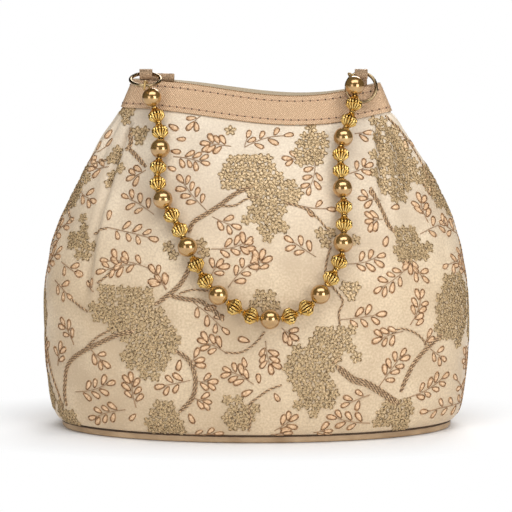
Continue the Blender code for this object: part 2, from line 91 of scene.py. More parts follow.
def smooth_line(points, per_span):
    """Smooth curve through a row of points."""
    knots = [Vector(point) for point in points]
    knots = [knots[0] * 2.0 - knots[1]] + knots + [knots[-1] * 2.0 - knots[-2]]
    line = []
    for a, b, c, d in zip(knots, knots[1:], knots[2:], knots[3:]):
        for index in range(per_span):
            t = index / per_span
            bend = 2.0 * a - 5.0 * b + 4.0 * c - d
            twist = 3.0 * b - a - 3.0 * c + d
            line.append(0.5 * (2.0 * b + (c - a) * t + bend * t ** 2 + twist * t ** 3))
    line.append(knots[-2])
    return line


def lengths_of(line):
    lengths = [0.0]
    for start, end in zip(line, line[1:]):
        lengths.append(lengths[-1] + (end - start).length)
    return lengths


def point_at(line, lengths, length):
    for index, (low, high) in enumerate(zip(lengths, lengths[1:])):
        if length <= high:
            return line[index].lerp(line[index + 1], (length - low) / (high - low))
    return line[-1].copy()


thread_line = smooth_line(THREAD_ROUTE, 24)
thread_lengths = lengths_of(thread_line)
bead_spans = []
reach = FIRST_BEAD
for kind in STRAND:
    bead_length = LANTERN_LENGTH if kind == "F" else 2.0 * BORE_HALF
    bead_spans.append((kind, reach, reach + bead_length))
    reach += bead_length + BEAD_GAP
last_end = bead_spans[-1][2]
thread_stops = [FIRST_BEAD * index / KNOT_STEPS for index in range(KNOT_STEPS)]
for _, begin, end in bead_spans:
    thread_stops += [begin, end]
tail = thread_lengths[-1] - last_end
thread_stops += [last_end + tail * (index + 1) / KNOT_STEPS for index in range(KNOT_STEPS)]
thread_path = [point_at(thread_line, thread_lengths, stop) for stop in thread_stops]


def surface(name, color, roughness, metallic=0.0):
    """Material with one Principled shader, its node tree and that shader."""
    finish = bpy.data.materials.new(name)
    finish.use_nodes = True
    tree = finish.node_tree
    shader = tree.nodes["Principled BSDF"]
    shader.inputs["Base Color"].default_value = (*color, 1.0)
    shader.inputs["Roughness"].default_value = roughness
    shader.inputs["Metallic"].default_value = metallic
    return finish, tree, shader


def pattern(tree, kind, way="Object", **values):
    """Texture on the piece's own coordinates: Object ones in metres, or its UV map."""
    place = tree.nodes.new("ShaderNodeTexCoord")
    texture = tree.nodes.new(kind)
    tree.links.new(place.outputs[way], texture.inputs["Vector"])
    for key, value in values.items():
        if key in ("wave_type", "bands_direction", "rings_direction", "wave_profile", "feature"):
            setattr(texture, key, value)
        else:
            texture.inputs[key.replace("_", " ").title()].default_value = value
    return texture


def blend_colors(tree, amount, low, high, start=0.35, stop=0.65):
    """Colour that runs from low to high as a texture's value goes from start to stop."""
    ramp_node = tree.nodes.new("ShaderNodeValToRGB")
    ramp_node.color_ramp.elements[0].position = start
    ramp_node.color_ramp.elements[0].color = (*low, 1.0)
    ramp_node.color_ramp.elements[1].position = stop
    ramp_node.color_ramp.elements[1].color = (*high, 1.0)
    tree.links.new(amount, ramp_node.inputs["Fac"])
    return ramp_node.outputs["Color"]


def relief(tree, shader, height, depth, under=None):
    """Bump of a depth in metres, on top of another bump if there is one."""
    bump = tree.nodes.new("ShaderNodeBump")
    bump.inputs["Distance"].default_value = depth
    tree.links.new(height, bump.inputs["Height"])
    if under:
        tree.links.new(under, bump.inputs["Normal"])
    tree.links.new(bump.outputs["Normal"], shader.inputs["Normal"])
    return bump.outputs["Normal"]


def joined_values(tree, first, second, how="MULTIPLY"):
    combine = tree.nodes.new("ShaderNodeMath")
    combine.operation = how
    tree.links.new(first, combine.inputs[0])
    tree.links.new(second, combine.inputs[1])
    return combine.outputs["Value"]


def woven(tree, pitch, way="UV"):
    """Height of a plain weave with a pitch in metres."""
    scale = 2.0 * math.pi / (20.0 * pitch)
    across = pattern(tree, "ShaderNodeTexWave", way, scale=scale, bands_direction="X")
    along = pattern(tree, "ShaderNodeTexWave", way, scale=scale, bands_direction="Y")
    return joined_values(tree, across.outputs["Fac"], along.outputs["Fac"], "ADD")


def specks(tree, scale, detail=2.0, way="Object"):
    """Value of an irregular pattern."""
    return pattern(tree, "ShaderNodeTexNoise", way, scale=scale, detail=detail).outputs["Fac"]


def flecked(tree, shader, fibres, low, high, start=0.35, stop=0.65):
    """Lets the colour run between two tones with the value of a pattern, which is handed on."""
    tree.links.new(blend_colors(tree, fibres, low, high, start, stop), shader.inputs["Base Color"])
    return fibres


def plain_yarn(name, low, high, roughness, metallic=0.0):
    """Yarn or thread whose fibres vary between two colours."""
    finish, tree, shader = surface(name, low, roughness, metallic)
    flecked(tree, shader, specks(tree, 1200.0), low, high)
    return finish


gold_yarn, tree, shader = surface("gold_yarn", (0.58, 0.38, 0.13), 0.4, 0.5)
strands = flecked(tree, shader, specks(tree, 1800.0), (0.42, 0.25, 0.08), (0.76, 0.52, 0.20))
relief(tree, shader, strands, 0.00015)

thread_curve = bpy.data.curves.new("thread_of_handle", "CURVE")
thread_curve.dimensions = "3D"
thread_curve.bevel_depth = THREAD_RADIUS
thread_curve.bevel_resolution = 3
thread_curve.use_fill_caps = True
spline = thread_curve.splines.new("POLY")
spline.points.add(len(thread_path) - 1)
for knot, point in zip(spline.points, thread_path):
    knot.co = (*point, 1.0)
thread = new_object("thread_of_handle", thread_curve)
thread.data.materials.append(gold_yarn)
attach(thread, "handle")
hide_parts("handle_cord")

# Outer cloth. Ivory satin, cut in a front and a back panel, sewn at the sides, pressed into a pleat
# beside each panel, gathered into the band at the mouth and glued round the stiff base.
BASE_WIDTH = 0.2024
BASE_DEPTH = 0.104
BELLY_WIDTH = 0.2212
BELLY_DEPTH = 0.122
NECK_WIDTH = 0.139
NECK_DEPTH = 0.040
MOUTH_WIDTH = 0.1266
MOUTH_DEPTH = 0.0188
SEAM_LEVEL = 0.0037
BELLY_LEVEL = 0.058
NECK_LEVEL = 0.1642
MOUTH_LEVEL = 0.1786
MOUTH_SAG = 0.0053
SAG_POWER = 1.3
SAG_TO_RIGHT = 1.18
MOUTH_TILT = 0.0010
SEAM_HALF = 0.0035
PLEAT_NECK = {-1: 22.0, 1: 30.0}
PLEAT_BELLY = {-1: 41.0, 1: 49.0}
PLEAT_COLUMN = 36.0
PLEAT_CREST = 0.0003
PLEAT_VALLEY = 0.0005
LAYER_RISE = 0.0011
LAYER_GAP = 0.0019
SOFT_WAVE = 0.00045
SOFT_FOLD = 0.00025
FINE_CREASE = 0.00016
SIDE_DENT = 0.0011
HANG_FOLD = 0.00035
CLOTH_SINK = 0.00030
NECK_BLEND = 0.009
CLOTH_T = 0.0008
TUCK_DEPTH = 0.0009
TURN_STEP = 0.004
LEVEL_STEP = 0.0002
WELD = 0.000001
QUARTER_STEPS = 90
CREASE = {
    -1: [(0.1642, 21.5), (0.1560, 33.0), (0.1470, 35.0), (0.1240, 38.0), (0.0860, 39.5), (0.0650, 40.0)],
    1: [(0.1642, 30.5), (0.1530, 39.5), (0.1300, 48.0), (0.1050, 51.0)],
}


def ramp(low, high, value):
    share = min(1.0, max(0.0, (value - low) / (high - low)))
    return share * share * (3.0 - 2.0 * share)


def bell(middle, width, value):
    return math.exp(-((value - middle) / width) ** 2)


def half_size(level, base, belly, neck, mouth):
    """Half of a width or depth: a bulge from the seam, a parabola to the neck and straight bands."""
    if level < BELLY_LEVEL:
        share = max(0.0, (level - SEAM_LEVEL) / (BELLY_LEVEL - SEAM_LEVEL))
        full = base + (belly - base) * math.sin(math.pi / 2.0 * share ** 0.45)
    elif level < NECK_LEVEL:
        share = (level - BELLY_LEVEL) / (NECK_LEVEL - BELLY_LEVEL)
        full = belly - (belly - neck) * share * share
    else:
        full = neck - (neck - mouth) * (level - NECK_LEVEL) / (MOUTH_LEVEL - NECK_LEVEL)
    return full / 2.0


def quarter(angle):
    """Signs of x and y, and degrees from the side seam, of an angle round the bag."""
    angle = (angle + 180.0) % 360.0 - 180.0
    side = 1 if abs(angle) <= 90.0 else -1
    return side, (1 if angle >= 0.0 else -1), (abs(angle) if side > 0 else 180.0 - abs(angle))


def turn_of(side, column, level):
    share = 1.0 - ramp(BELLY_LEVEL, NECK_LEVEL, level) ** 2
    crest = PLEAT_NECK[side] + (PLEAT_BELLY[side] - PLEAT_NECK[side]) * share
    if column < PLEAT_COLUMN:
        return math.radians(column / PLEAT_COLUMN * crest)
    return math.radians(crest + (column - PLEAT_COLUMN) / (90.0 - PLEAT_COLUMN) * (90.0 - crest))


def skin_point(side, face, turn, level):
    """Point on the smooth outer form of the bag."""
    width = half_size(level, BASE_WIDTH, BELLY_WIDTH, NECK_WIDTH, MOUTH_WIDTH)
    depth = half_size(level, BASE_DEPTH, BELLY_DEPTH, NECK_DEPTH, MOUTH_DEPTH)
    across = math.cos(turn)
    rest = max(0.0, 1.0 - across * across)
    from_end = width * (1.0 - across)
    round_end = SEAM_HALF
    if from_end < SEAM_HALF:
        round_end = math.sqrt(max(0.0, 2.0 * SEAM_HALF * from_end - from_end * from_end))
    power = 0.5 + 0.7 * ramp(BELLY_LEVEL, NECK_LEVEL, level) + 0.8 * ramp(NECK_LEVEL, MOUTH_LEVEL, level)
    out = round_end + (depth - SEAM_HALF) * rest ** power
    rise = min(1.0, max(0.0, (level - BELLY_LEVEL) / (NECK_LEVEL - BELLY_LEVEL)) ** 3)
    sag = MOUTH_SAG * rise * rest ** SAG_POWER * (1.0 + SAG_TO_RIGHT * side * across)
    sag += MOUTH_TILT * rise * side * across
    return Vector((side * width * across, face * math.copysign(out, turn), level - sag))


def round_way(side, face, turn, level):
    return skin_point(side, face, turn + TURN_STEP, level) - skin_point(side, face, turn - TURN_STEP, level)


def skin_normal(side, face, turn, level):
    low = max(level - LEVEL_STEP, SEAM_LEVEL)
    up_way = skin_point(side, face, turn, level + LEVEL_STEP) - skin_point(side, face, turn, low)
    normal = round_way(side, face, turn, level).cross(up_way).normalized()
    return normal if side * face > 0 else -normal


def skin_at(angle, level, out):
    """Point that stands out from the skin by a distance."""
    side, face, column = quarter(angle)
    turn = turn_of(side, column, level)
    return skin_point(side, face, turn, level) + skin_normal(side, face, turn, level) * out


def crease_height(side, column, level):
    """Edge of the pleat: the layer by the middle stands over the one by the seam."""
    rows = CREASE[side]
    turn = rows[-1][1]
    for (high, high_turn), (low, low_turn) in zip(rows, rows[1:]):
        if low <= level <= high:
            turn = low_turn + (high_turn - low_turn) * (level - low) / (high - low)
    if level > rows[0][0]:
        turn = rows[0][1]
    past = math.degrees(turn_of(side, column, level)) - turn
    fade = ramp(rows[-1][0], rows[-2][0], level)
    layer = LAYER_RISE * ramp(-0.8, 0.9, past) * bell(0.0, 5.5, past)
    return (layer - LAYER_GAP * bell(-1.9, 1.8, past)) * fade


def cloth_height(angle, level):
    """Pressed pleat, and the soft dents and creases of the satin."""
    side, face, column = quarter(angle)
    below_neck = 1.0 - ramp(NECK_LEVEL - NECK_BLEND, NECK_LEVEL, level)
    above_belly = ramp(BELLY_LEVEL - 0.010, NECK_LEVEL - 0.045, level)
    pleat = PLEAT_CREST * bell(38.0, 3.5, column) - PLEAT_VALLEY * bell(30.5, 4.0, column)
    height = pleat * below_neck * above_belly + crease_height(side, column, level) * below_neck
    free = ramp(SEAM_LEVEL, 0.020, level) * below_neck
    here = skin_point(side, face, math.radians(column), level)
    loose = 1.0 + 1.6 * (1.0 - ramp(34.0, 48.0, column))
    drawn_out = Vector((here.x * 70, here.y * 70, here.z * 28))
    soft = noise.noise(here * 26.0) * SOFT_WAVE + noise.noise(drawn_out) * SOFT_FOLD
    soft = soft * loose + noise.noise(here * 110.0) * FINE_CREASE
    side_dent = bell(14.0, 9.0, column) * (0.5 + noise.noise(here * 45.0))
    hang = math.sin(math.radians(column) * 17.0 + 3.0 * side) * HANG_FOLD * ramp(0.09, 0.16, level)
    soft -= SIDE_DENT * side_dent * ramp(0.05, 0.11, level)
    return height + (soft + hang - CLOTH_SINK) * free - CLOTH_SINK


def laid_grid(name, columns, rows, place, closed=False, floor=False):
    """Sheet shaped from a grid: place(column, row) puts each vertex, and its UV map is in metres."""
    bpy.ops.mesh.primitive_grid_add(x_subdivisions=columns, y_subdivisions=rows, size=1.0)
    piece = bpy.context.object
    piece.name = name
    piece.data.name = name
    mesh = piece.data
    spots = [place(index % (columns + 1), index // (columns + 1)) for index in range(len(mesh.vertices))]
    for vertex, spot in zip(mesh.vertices, spots):
        vertex.co = spot
    middle = (rows // 2) * (columns + 1)
    along = lengths_of(spots[middle:middle + columns + 1])
    up = lengths_of([spots[row * (columns + 1)] for row in range(rows + 1)])
    layer = mesh.uv_layers[0]
    for loop in mesh.loops:
        layer.data[loop.index].uv = (along[loop.vertex_index % (columns + 1)],
                                     up[loop.vertex_index // (columns + 1)])
    if closed:
        bpy.ops.object.mode_set(mode="EDIT")
        bpy.ops.mesh.select_all(action="SELECT")
        bpy.ops.mesh.remove_doubles(threshold=WELD)
        bpy.ops.object.mode_set(mode="OBJECT")
    if floor:
        lowest = min(spot.z for spot in spots)
        for edge in mesh.edges:
            edge.select = all(abs(mesh.vertices[end].co.z - lowest) < WELD for end in edge.vertices)
        for vertex in mesh.vertices:
            vertex.select = abs(vertex.co.z - lowest) < WELD
        bpy.ops.object.mode_set(mode="EDIT")
        bpy.ops.mesh.select_mode(type="EDGE")
        bpy.ops.mesh.edge_face_add()
        bpy.ops.mesh.select_all(action="SELECT")
        bpy.ops.mesh.normals_make_consistent(inside=False)
        bpy.ops.object.mode_set(mode="OBJECT")
    return piece


def select_only(piece):
    bpy.ops.object.select_all(action="DESELECT")
    bpy.context.view_layer.objects.active = piece
    piece.select_set(True)


def give_wall(piece, thickness, even=True):
    """Thickness inwards, and smooth shading."""
    select_only(piece)
    wall = piece.modifiers.new("wall", "SOLIDIFY")
    wall.thickness = thickness
    wall.offset = -1.0
    wall.use_even_offset = even
    wall.use_quality_normals = even
    bpy.ops.object.modifier_apply(modifier="wall")
    bpy.ops.object.shade_smooth_by_angle(angle=math.radians(40.0))
    return piece


def painted(piece, finish):
    piece.data.materials.clear()
    piece.data.materials.append(finish)


def dressed(piece, body, finish, slot_name, *nodes):
    """Finish, body and the nodes that a piece stands for. The slot name is not used."""
    painted(piece, finish)
    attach(piece, body)
    if nodes:
        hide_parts(*nodes)
    return piece


def search_tree(mesh):
    """Tree that finds the nearest place on a mesh."""
    shape = bmesh.new()
    shape.from_mesh(mesh)
    shape.normal_update()
    tree = BVHTree.FromBMesh(shape)
    shape.free()
    return tree


def mixed_colors(tree, first, second, amount=None, how="MIX"):
    """Second colour over the first one, by an amount or in full."""
    mix = tree.nodes.new("ShaderNodeMixRGB")
    mix.blend_type = how
    mix.inputs["Fac"].default_value = 1.0
    if amount:
        tree.links.new(amount, mix.inputs["Fac"])
    tree.links.new(first, mix.inputs["Color1"])
    tree.links.new(second, mix.inputs["Color2"])
    return mix.outputs["Color"]


cloth_levels = [SEAM_LEVEL + (BELLY_LEVEL - SEAM_LEVEL) * (index / 24) ** 1.5 for index in range(24)]
cloth_levels += [BELLY_LEVEL + (NECK_LEVEL - BELLY_LEVEL) * index / 48 for index in range(48)]
cloth_levels += [NECK_LEVEL, NECK_LEVEL + 0.0022, NECK_LEVEL + 0.0045]


def cloth_spot(column, row):
    level = cloth_levels[row]
    angle = column * 90.0 / QUARTER_STEPS
    out = -TUCK_DEPTH if level >= NECK_LEVEL else cloth_height(angle, level)
    return skin_at(angle, level, out)


satin, tree, shader = surface("ivory_satin_cloth", (0.62, 0.50, 0.35), 0.40)
shader.inputs["Sheen Weight"].default_value = 0.15
shader.inputs["Sheen Roughness"].default_value = 0.4
shader.inputs["Specular IOR Level"].default_value = 0.45
# The satin's tone is partly its own unevenness and partly painted shade: it follows the same cloud noise as
# the bump, so the dents are painted darker.
clouds = specks(tree, 38.0, 3.0)
tones = joined_values(tree, clouds, specks(tree, 900.0, way="UV"))
shaded_lower_colors = blend_colors(tree, tones, (0.55, 0.41, 0.26), (0.74, 0.585, 0.395), 0.15, 0.40)
lit_upper_colors = blend_colors(tree, tones, (0.63, 0.52, 0.395), (0.78, 0.67, 0.52), 0.15, 0.40)
# Painted light and shade: the satin runs from a darker, warmer beige low down to a lighter, cooler tone
# towards the top, where the light falls.
height = tree.nodes.new("ShaderNodeSeparateXYZ")
tree.links.new(tree.nodes["Texture Coordinate"].outputs["Object"], height.inputs["Vector"])
rise = blend_colors(tree, height.outputs["Z"], (0.0, 0.0, 0.0), (1.0, 1.0, 1.0), 0.075, 0.155)
tree.links.new(mixed_colors(tree, shaded_lower_colors, lit_upper_colors, rise), shader.inputs["Base Color"])
weave_normal = relief(tree, shader, woven(tree, 0.00030), 0.00002)
relief(tree, shader, clouds, 0.0022, weave_normal)
cloth = laid_grid("satin_body", 4 * QUARTER_STEPS, len(cloth_levels) - 1, cloth_spot, closed=True)
cloth_tree = search_tree(cloth.data)
give_wall(cloth, CLOTH_T)
dressed(cloth, "bag", satin, "ivory_satin", "outer_fabric")

# Embroidery. Machine stitching in metallic yarn that stands on the satin: rosettes of five looped
# petals massed in clusters, plaited vines, and sprigs of peach leaves with a rose-brown outline.
PETAL_RADIUS = 0.00106
PETAL_YARN = 0.00027
PETAL_OUT = 0.00166
PETAL_SHAPE = (1.25, 0.84, 1.0)
PETAL_FILL_T = 0.0002
BUTTON_RADIUS = 0.00045
ROSETTE_STRAY = 0.0004
LEAF_LENGTH = 0.0057
LEAF_WIDTH = 0.0031
LEAF_YARN = 0.00021
LEAF_FILL_T = 0.0003
LEAF_GAP = 0.0005
FILL_LIFT = 0.00015
CLUSTER_PITCH = 0.0054
VINE_YARN = 0.00033
STEM_YARN = 0.00022
STEM_STEP = 0.0011
STEM_LIFT = 0.0002
VINE_STEP = 0.0006
STRAND_APART = 0.00125
PLAIT_PITCH = 0.0027
PLAIT_SHIFT = 0.00036
PLAIT_LIFT = 0.00030
PLAIT_RISE = 0.00012
MM = 0.001
stitch_chance = random.Random(7)


def stamp_of(pieces):
    """Vertices, faces and slots of pieces that were modelled at the origin, which are then removed."""
    points, faces, slots = [], [], []
    for piece, slot_index in pieces:
        start = len(points)
        points += [tuple(vertex.co) for vertex in piece.data.vertices]
        for polygon in piece.data.polygons:
            faces.append([start + corner for corner in polygon.vertices])
            slots.append(slot_index)
        bpy.data.objects.remove(piece)
    return points, faces, slots


def shaped_copy(stretch, move, turn):
    """Stretches, moves and turns the new primitive in edit mode."""
    bpy.ops.object.mode_set(mode="EDIT")
    bpy.ops.mesh.select_all(action="SELECT")
    bpy.ops.transform.resize(value=stretch, center_override=(0.0, 0.0, 0.0))
    bpy.ops.transform.translate(value=move)
    bpy.ops.transform.rotate(value=turn, orient_axis="Z", center_override=(0.0, 0.0, 0.0))
    bpy.ops.object.mode_set(mode="OBJECT")
    return bpy.context.object


petals = []
for index in range(5):
    turn = 2.0 * math.pi * index / 5.0
    bpy.ops.mesh.primitive_torus_add(major_segments=10, minor_segments=4, major_radius=PETAL_RADIUS,
                                     minor_radius=PETAL_YARN)
    petals.append((shaped_copy(PETAL_SHAPE, (PETAL_OUT, 0.0, PETAL_YARN), turn), 0))
    bpy.ops.mesh.primitive_cone_add(vertices=10, radius1=PETAL_RADIUS, radius2=0.0, depth=PETAL_FILL_T,
                                    end_fill_type="NOTHING")
    petals.append((shaped_copy(PETAL_SHAPE, (PETAL_OUT, 0.0, FILL_LIFT), turn), 1))
bpy.ops.mesh.primitive_ico_sphere_add(subdivisions=1, radius=BUTTON_RADIUS)
petals.append((shaped_copy((1.0, 1.0, 0.7), (0.0, 0.0, 0.0002), 0.0), 0))
rosette = stamp_of(petals)


def leaf_breadth(share):
    return 0.55 + 0.6 * share


bpy.ops.mesh.primitive_torus_add(major_segments=12, minor_segments=4, major_radius=LEAF_LENGTH / 2.0,
                                 minor_radius=LEAF_YARN)
leaf_edge = bpy.context.object
for vertex in leaf_edge.data.vertices:
    share = vertex.co.x / LEAF_LENGTH + 0.5
    half_round = math.sqrt(max(0.0, 1.0 - (2.0 * min(1.0, max(0.0, share)) - 1.0) ** 2))
    ring_y = math.copysign(half_round, vertex.co.y)
    spread = math.hypot(vertex.co.x, vertex.co.y) - LEAF_LENGTH / 2.0
    vertex.co.x += LEAF_LENGTH / 2.0
    vertex.co.y = ring_y * (LEAF_WIDTH / 2.0 * leaf_breadth(share)) + math.copysign(spread, vertex.co.y)
    vertex.co.z += LEAF_YARN * 0.8
bpy.ops.mesh.primitive_cone_add(vertices=12, radius1=LEAF_LENGTH / 2.0, radius2=LEAF_LENGTH / 4.0,
                                depth=LEAF_FILL_T, end_fill_type="NGON")
leaf_fill = bpy.context.object
for vertex in leaf_fill.data.vertices:
    share = vertex.co.x / LEAF_LENGTH + 0.5
    vertex.co.x += LEAF_LENGTH / 2.0
    vertex.co.y *= LEAF_WIDTH / LEAF_LENGTH * leaf_breadth(share)
    vertex.co.z += FILL_LIFT
leaf = stamp_of([(leaf_edge, 0), (leaf_fill, 1)])


class Needle:
    """Collects the stitches of one piece of embroidery and makes its mesh."""

    def __init__(self):
        self.points, self.faces, self.slots = [], [], []

    def lay(self, stamp, spot, normal, heading, scale=1.0, lift=0.0):
        """Lays a stamp on the cloth with its X along the heading."""
        along = (heading - normal * heading.dot(normal)).normalized()
        across = normal.cross(along)
        start = len(self.points)
        for x, y, z in stamp[0]:
            hit, facing, _, _ = cloth_tree.find_nearest(spot + (along * x + across * y) * scale)
            self.points.append(hit + facing * (z * scale + lift))
        self.faces += [[start + corner for corner in face] for face in stamp[1]]
        self.slots += stamp[2]

    def run(self, centres, normals, radius, slot_index=0, sides=4):
        """One yarn along a row of points."""
        start = len(self.points)
        last = len(centres) - 1
        for index, (centre, normal) in enumerate(zip(centres, normals)):
            ahead = centres[min(last, index + 1)] - centres[max(0, index - 1)]
            across = normal.cross(ahead).normalized()
            upward = ahead.cross(across).normalized()
            for corner in range(sides):
                angle = 2.0 * math.pi * (corner + 0.5) / sides
                self.points.append(centre + (across * math.cos(angle) + upward * math.sin(angle)) * radius)
        for index in range(last):
            for corner in range(sides):
                here = start + index * sides + corner
                there = start + index * sides + (corner + 1) % sides
                self.faces.append([here, there, there + sides, here + sides])
                self.slots.append(slot_index)
        self.faces.append([start + corner for corner in reversed(range(sides))])
        self.faces.append([start + last * sides + corner for corner in range(sides)])
        self.slots += [slot_index, slot_index]

    def sew(self, name, body, slot_name, *finishes):
        """Makes the piece, which rides on a body."""
        mesh = bpy.data.meshes.new(name)
        mesh.from_pydata([tuple(point) for point in self.points], [], self.faces)
        for finish in finishes:
            mesh.materials.append(finish)
        for polygon, slot_index in zip(mesh.polygons, self.slots):
            polygon.material_index = slot_index
        mesh.shade_smooth()
        piece = new_object(name, mesh)
        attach(piece, body)
        return piece


def cloth_spot_at(view, across, up):
    """Place on the cloth seen from a side of the bag, in millimetres: 0 is the front, 90 the right."""
    angle = math.radians(view)
    outward = Vector((math.sin(angle), -math.cos(angle), 0.0))
    sideways = Vector((math.cos(angle), math.sin(angle), 0.0))
    for step in range(12):
        start = sideways * across * MM * (1.0 - step * 0.01) + outward * 0.3
        start += Vector((0.0, 0.0, up * MM))
        hit, normal, _, _ = cloth_tree.ray_cast(start, -outward)
        if hit is not None:
            return hit, normal
    return cloth_tree.find_nearest(start - outward * 0.2)[:2]


def on_cloth(point):
    return cloth_tree.find_nearest(point)[:2]


def inside(corners, x, y):
    crossings = False
    for (x1, y1), (x2, y2) in zip(corners, corners[1:] + corners[:1]):
        if (y1 > y) != (y2 > y) and x < x1 + (x2 - x1) * (y - y1) / (y2 - y1):
            crossings = not crossings
    return crossings


def stitch_cluster(needle, view, corners):
    """Fills an outline with rosettes, nearer together where the cloth turns away."""
    low_x, high_x = min(x for x, _ in corners), max(x for x, _ in corners)
    low_z, high_z = min(z for _, z in corners), max(z for _, z in corners)
    angle = math.radians(view)
    row, laid = 0, 0
    z = low_z + 1.8
    while z < high_z:
        x = low_x + (CLUSTER_PITCH * 500.0 if row % 2 else 0.0)
        while x < high_x + 1.0:
            spot, normal = cloth_spot_at(view, x, z)
            facing = abs(normal.x * math.sin(angle) - normal.y * math.cos(angle))
            slope = max(0.5, math.sqrt(max(0.0, 1.0 - normal.z ** 2)))
            if inside(corners, x, z):
                near = Vector([stitch_chance.uniform(-ROSETTE_STRAY, ROSETTE_STRAY) for _ in range(3)])
                spot, normal = on_cloth(spot + near)
                heading = Vector((0.0, 0.0, 1.0)).cross(normal)
                turn = stitch_chance.uniform(0.0, 1.3)
                heading = heading * math.cos(turn) + Vector((0.0, 0.0, 1.0)) * math.sin(turn)
                needle.lay(rosette, spot, normal, heading, stitch_chance.uniform(0.92, 1.08),
                           stitch_chance.uniform(0.0, 0.00012))
                laid += 1
            x += CLUSTER_PITCH * 1000.0 * max(0.25, facing)
        z += CLUSTER_PITCH * 860.0 * slope
        row += 1
    if not laid:
        spot, normal = cloth_spot_at(view, (low_x + high_x) / 2.0, (low_z + high_z) / 2.0)
        needle.lay(rosette, spot, normal, Vector((0.0, 0.0, 1.0)).cross(normal))


def stitch_sprig(leaves, stems, view, base, tip, count):
    """Thin stem with a leaf at its tip and others in turn to its left and right."""
    start, start_normal = cloth_spot_at(view, *base)
    end, _ = cloth_spot_at(view, *tip)
    length = (end - start).length
    way = (end - start).normalized()
    sideways = start_normal.cross(way).normalized()
    bow = stitch_chance.uniform(-0.10, 0.10) * length
    stem, normals = [], []
    steps = max(4, int(length / STEM_STEP))
    for index in range(steps + 1):
        share = index / steps
        spot, normal = on_cloth(start.lerp(end, share) + sideways * bow * math.sin(math.pi * share))
        stem.append(spot + normal * STEM_LIFT)
        normals.append(normal)
    if count > 1:
        reach = max(2, int(steps * (1.0 - 0.0026 / max(length, 0.004))))
        stems.run(stem[:reach + 1], normals[:reach + 1], STEM_YARN, 1)
    for index in range(count):
        last = index == count - 1
        if count == 1:
            share = 0.35
        elif last:
            share = max(0.5, 1.0 - LEAF_LENGTH * 0.8 / max(length, 0.006))
        else:
            share = 0.16 + 0.74 * (index + 0.3) / count
        spot, normal = on_cloth(stem[0].lerp(stem[-1], share) + sideways * bow * math.sin(math.pi * share))
        lean = 0.0
        if not last:
            lean = math.radians(48.0 + stitch_chance.uniform(-9.0, 9.0)) * (1 if index % 2 else -1)
        heading = way * math.cos(lean) + normal.cross(way) * math.sin(lean)
        gap = normal.cross(way) * (0.0 if last else math.copysign(LEAF_GAP, lean))
        leaves.lay(leaf, spot + gap + heading * 0.0003, normal, heading, stitch_chance.uniform(0.88, 1.1))


def stitch_vine(vines, view, strands, corners):
    """Plaited vine: each strand is a pair of yarns laid over each other in turn."""
    spots = [cloth_spot_at(view, *corner)[0] for corner in corners]
    line = smooth_line(spots, 12)
    lengths = lengths_of(line)
    count = max(4, int(lengths[-1] / VINE_STEP))
    middle = [on_cloth(point_at(line, lengths, lengths[-1] * index / count)) for index in range(count + 1)]
    for strand in range(strands):
        shift = (strand - (strands - 1) / 2.0) * STRAND_APART
        for twin in (0, 1):
            centres, normals = [], []
            for index, (spot, normal) in enumerate(middle):
                ahead = middle[min(count, index + 1)][0] - middle[max(0, index - 1)][0]
                across = normal.cross(ahead).normalized()
                phase = math.pi * twin + 2.0 * math.pi * lengths[-1] * index / count / PLAIT_PITCH
                taper = min(1.0, (index + 2) / 8, (count - index + 2) / 8)
                side_shift = shift * taper + PLAIT_SHIFT * math.cos(phase)
                hit, facing = on_cloth(spot + across * side_shift)
                centres.append(hit + facing * (PLAIT_LIFT + PLAIT_RISE * math.sin(phase)))
                normals.append(facing)
            vines.run(centres, normals, VINE_YARN, 2 * twin)


